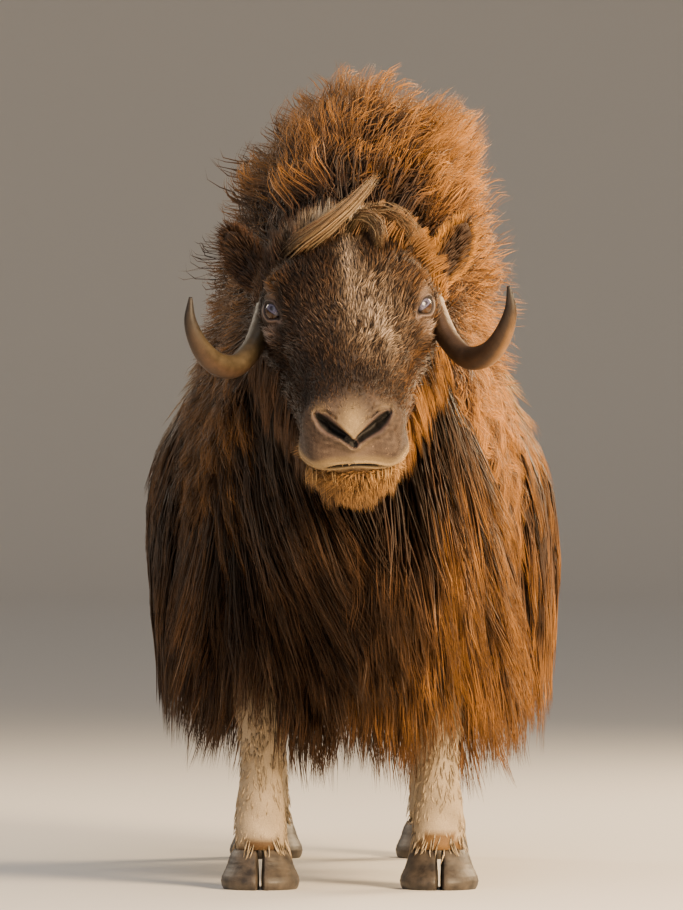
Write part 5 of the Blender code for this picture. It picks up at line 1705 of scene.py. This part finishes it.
def eye_material():
    """A wet dark brown eye with a wide pupil, and a painted lilac-blue reflection over its upper part."""
    material, tree, shader = new_material("eye", 0.25, 0.2)
    shader.inputs["Coat Weight"].default_value = 0.7
    shader.inputs["Coat IOR"].default_value = 1.34
    shader.inputs["Coat Roughness"].default_value = 0.02
    place = node(tree, "ShaderNodeTexCoord").outputs["Object"]
    parts = node(tree, "ShaderNodeSeparateXYZ")
    tree.links.new(place, parts.inputs[0])
    up = span(tree, parts.outputs["Y"], 0.0005, -0.0020, 0.0, 1.0)
    squares = []
    for out, middle, half in ((parts.outputs["X"], 0.0, 0.0042), (parts.outputs["Y"], 0.0050, 0.0030)):
        moved = span(tree, out, middle - half, middle + half, -1.0, 1.0)
        moved.node.clamp = False
        squares.append(combine(tree, "MULTIPLY", moved, moved))
    streaks = span(tree, noise(tree, place, 500.0, 4.0), 0.3, 0.7, 0.6, 1.45)
    iris_and_reflection = brighten(tree, ramp(tree, up, EYE_REFLECTION_AND_IRIS_STOPS), streaks)
    hole = span(tree, combine(tree, "ADD", *squares), 0.7, 1.4, 0.25, 1.0)
    rim = node(tree, "ShaderNodeVectorMath", operation="LENGTH")
    flat = node(tree, "ShaderNodeCombineXYZ")
    tree.links.new(parts.outputs["X"], flat.inputs["X"])
    tree.links.new(parts.outputs["Y"], flat.inputs["Y"])
    tree.links.new(flat.outputs[0], rim.inputs[0])
    # The ball is painted darker towards the edge of the opening: painted shade under the lids.
    edge = span(tree, rim.outputs["Value"], 0.0100, 0.0140, 1.0, 0.10)
    tree.links.new(brighten(tree, brighten(tree, iris_and_reflection, hole), edge), shader.inputs["Base Color"])
    return material


def assign(made, material):
    made.data.materials.clear()
    made.data.materials.append(material)


def add_light(name, place, target, size, power, colour):
    light = bpy.data.lights.new(name, "AREA")
    light.shape = "DISK"
    light.size = size
    light.energy = power
    light.color = colour
    made = bpy.data.objects.new(name, light)
    made.location = place
    made.rotation_euler = (Vector(target) - Vector(place)).to_track_quat("-Z", "Y").to_euler()
    bpy.context.scene.collection.objects.link(made)


def set_stage():
    """The pale floor and wall, the lights and the sky."""
    flat = STAGE_RADIUS - STAGE_BEND
    profile = [(r, 0.0) for r in (*STAGE_INNER, flat)]
    for angle in np.linspace(0, math.pi / 2, 10)[1:]:
        profile.append((flat + STAGE_BEND * math.sin(angle), STAGE_BEND * (1 - math.cos(angle))))
    profile.append((STAGE_RADIUS, STAGE_HEIGHT))
    rings = [[(r * math.cos(a), r * math.sin(a), z) for a in turn(STAGE_SIDES)] for r, z in profile]
    floor = new_mesh("floor", np.array(rings) - SHIFT, loft_faces(len(profile), STAGE_SIDES)[:, ::-1])
    work = bmesh.new()
    work.from_mesh(floor.data)
    inner = [e for e in work.edges if e.is_boundary and e.verts[0].co.length < 2 * STAGE_INNER[0]]
    bmesh.ops.holes_fill(work, edges=inner, sides=0)
    work.to_mesh(floor.data)
    work.free()
    material, _, shader = new_material("floor", 0.8, 0.3)
    shader.inputs["Base Color"].default_value = (*FLOOR_COLOUR, 1)
    assign(floor, material)
    for light in LIGHTS:
        add_light(*light)
    world = bpy.data.worlds.new("studio")
    world.use_nodes = True
    world.node_tree.nodes["Background"].inputs["Color"].default_value = SKY_COLOUR
    world.node_tree.nodes["Background"].inputs["Strength"].default_value = SKY_STRENGTH
    bpy.context.scene.world = world


def set_camera():
    """A camera where the photo was taken from."""
    camera = bpy.data.cameras.new("camera")
    camera.sensor_width = SENSOR
    camera.lens = SENSOR * CAMERA_AWAY / (PIXEL * FRAME_HIGH)
    made = bpy.data.objects.new("camera", camera)
    x = (FRAME_WIDE / 2 - FACE_COLUMN) * PIXEL
    z = (GROUND_ROW - FRAME_HIGH / 2) * PIXEL
    made.location = (x + SHIFT[0], EYE_MIDDLE[1] + SHIFT[1] - CAMERA_AWAY, z)
    made.rotation_euler = (math.pi / 2, 0, 0)
    bpy.context.scene.collection.objects.link(made)
    bpy.context.scene.camera = made


def dress(piece, material, replaced=()):
    """Gives a piece its material and its body, and hides the nodes that it stands in for."""
    assign(piece, material)
    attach(piece, "root")
    if replaced:
        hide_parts(*replaced)


def mane_share(y):
    """1 where the mane grows, and 0 where the coat of the body does."""
    return 1 - ease(y, *MANE_ENDS)


def on_crest(y, angle):
    return mane_share(y) * (np.abs(angle) < CREST)


def on_left_of_neck(y, angle):
    return mane_share(y) * (angle >= CREST)


def on_right_of_neck(y, angle):
    return mane_share(y) * (angle <= -CREST)


def on_left_side(y, angle):
    return (1 - mane_share(y)) * (angle >= 0)


def on_right_side(y, angle):
    return (1 - mane_share(y)) * (angle < 0)


# Pieces of the long coat: strands, width of a strand, its steps, its growth and waves, and where it grows
LONG_COAT = {
    "mane_top": (4200, 0.0044, CURLY_STEPS, mane_shape, CRIMP, on_crest),
    "mane_top_2": (4200, 0.0038, CURLY_STEPS, mane_shape, CRIMP, on_crest),
    "mane_top_3": (4200, 0.0034, CURLY_STEPS, mane_shape, CRIMP, on_crest),
    "mane_left": (4300, 0.0044, EVEN_STEPS, mane_shape, WAVE, on_left_of_neck),
    "mane_right": (4300, 0.0044, EVEN_STEPS, mane_shape, WAVE, on_right_of_neck),
    "coat_left": (5800, 0.0056, EVEN_STEPS, body_shape, WAVE, on_left_side),
    "coat_right": (5800, 0.0056, EVEN_STEPS, body_shape, WAVE, on_right_side),
}


def face_weight(places):
    """How densely the face's hair grows."""
    local = to_head(places - SHIFT)
    back = ease(local[:, 1], -0.15, -0.11)
    under = 1 - 0.5 * ease(-local[:, 2], 0.08, 0.16)
    return back * under * (1 + 0.8 * ease(local[:, 1], 0.16, 0.24))


def strands(count):
    """How many strands a piece has: all of them."""
    return count


def strand_width(width):
    """How wide a strand is: the width it is given."""
    return width


def grow_coat():
    """All the hair, each piece rooted on the skin's own shape."""
    long_hair_look = hair_material("long_hair", 0.50, 0.24)
    short_hair_look = hair_material("short_hair", 0.58, 0.20)
    for number, (name, (count, width, steps, shape, waved, grows)) in enumerate(LONG_COAT.items()):
        piece = trunk_coat(name, strands(count), grows, SEED + number, strand_width(width), steps, shape,
                           waved)
        dress(piece, long_hair_look)
    head = make_head()
    set_on_neck(head)
    for number, (name, count, width) in enumerate(FACE_FUR):
        piece = face_coat(name, head, strands(count), SEED + 30 + number, strand_width(width), 2, face_weight)
        dress(piece, short_hair_look)
    count, width = LEG_FUR_STRANDS
    dress(leg_coat(strands(count), strand_width(width), 2), short_hair_look)
    for grown, look, steps, (count, width) in (
        (ear_coat, short_hair_look, 2, EAR_FUR_STRANDS),
        (partial(head_hair, head), long_hair_look, 3, HEAD_HAIR_STRANDS),
        (boss_fur, short_hair_look, 2, BOSS_FUR_STRANDS),
        (forelock, long_hair_look, 6, FORELOCK_STRANDS),
    ):
        dress(grown(strands(count), width, steps), look)
    bpy.data.objects.remove(head)


def add_skin():
    """One skin in place of all the flesh."""
    skin = build_skin()
    tint_skin(skin)
    flesh = [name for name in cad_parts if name.split("_")[0] in FLESH]
    dress(skin, skin_material(), flesh)


def add_hard_parts():
    """Horns, eyes and hooves."""
    horn, eye, hoof = horn_material(), eye_material(), hoof_material()
    for side, label in ((1, "left"), (-1, "right")):
        dress(make_horn(side), horn, [f"horn_{label}"])
        dress(make_eyeball(side), eye, [f"eye_{label}"])
        for end, rows in (("front", FRONT_LEG), ("hind", HIND_LEG)):
            for way, claw in ((1, "outer"), (-1, "inner")):
                piece = make_claw(f"claw_{end}_{label}_{claw}", rows, side, way)
                dress(piece, hoof, [f"hoof_{end}_{label}_{claw}"])
            for number, piece in enumerate(make_dewclaws(rows, side)):
                piece.name = f"dewclaw_{end}_{label}_{number + 1}"
                dress(piece, hoof)


add_skin()
grow_coat()
add_hard_parts()
set_stage()
set_camera()
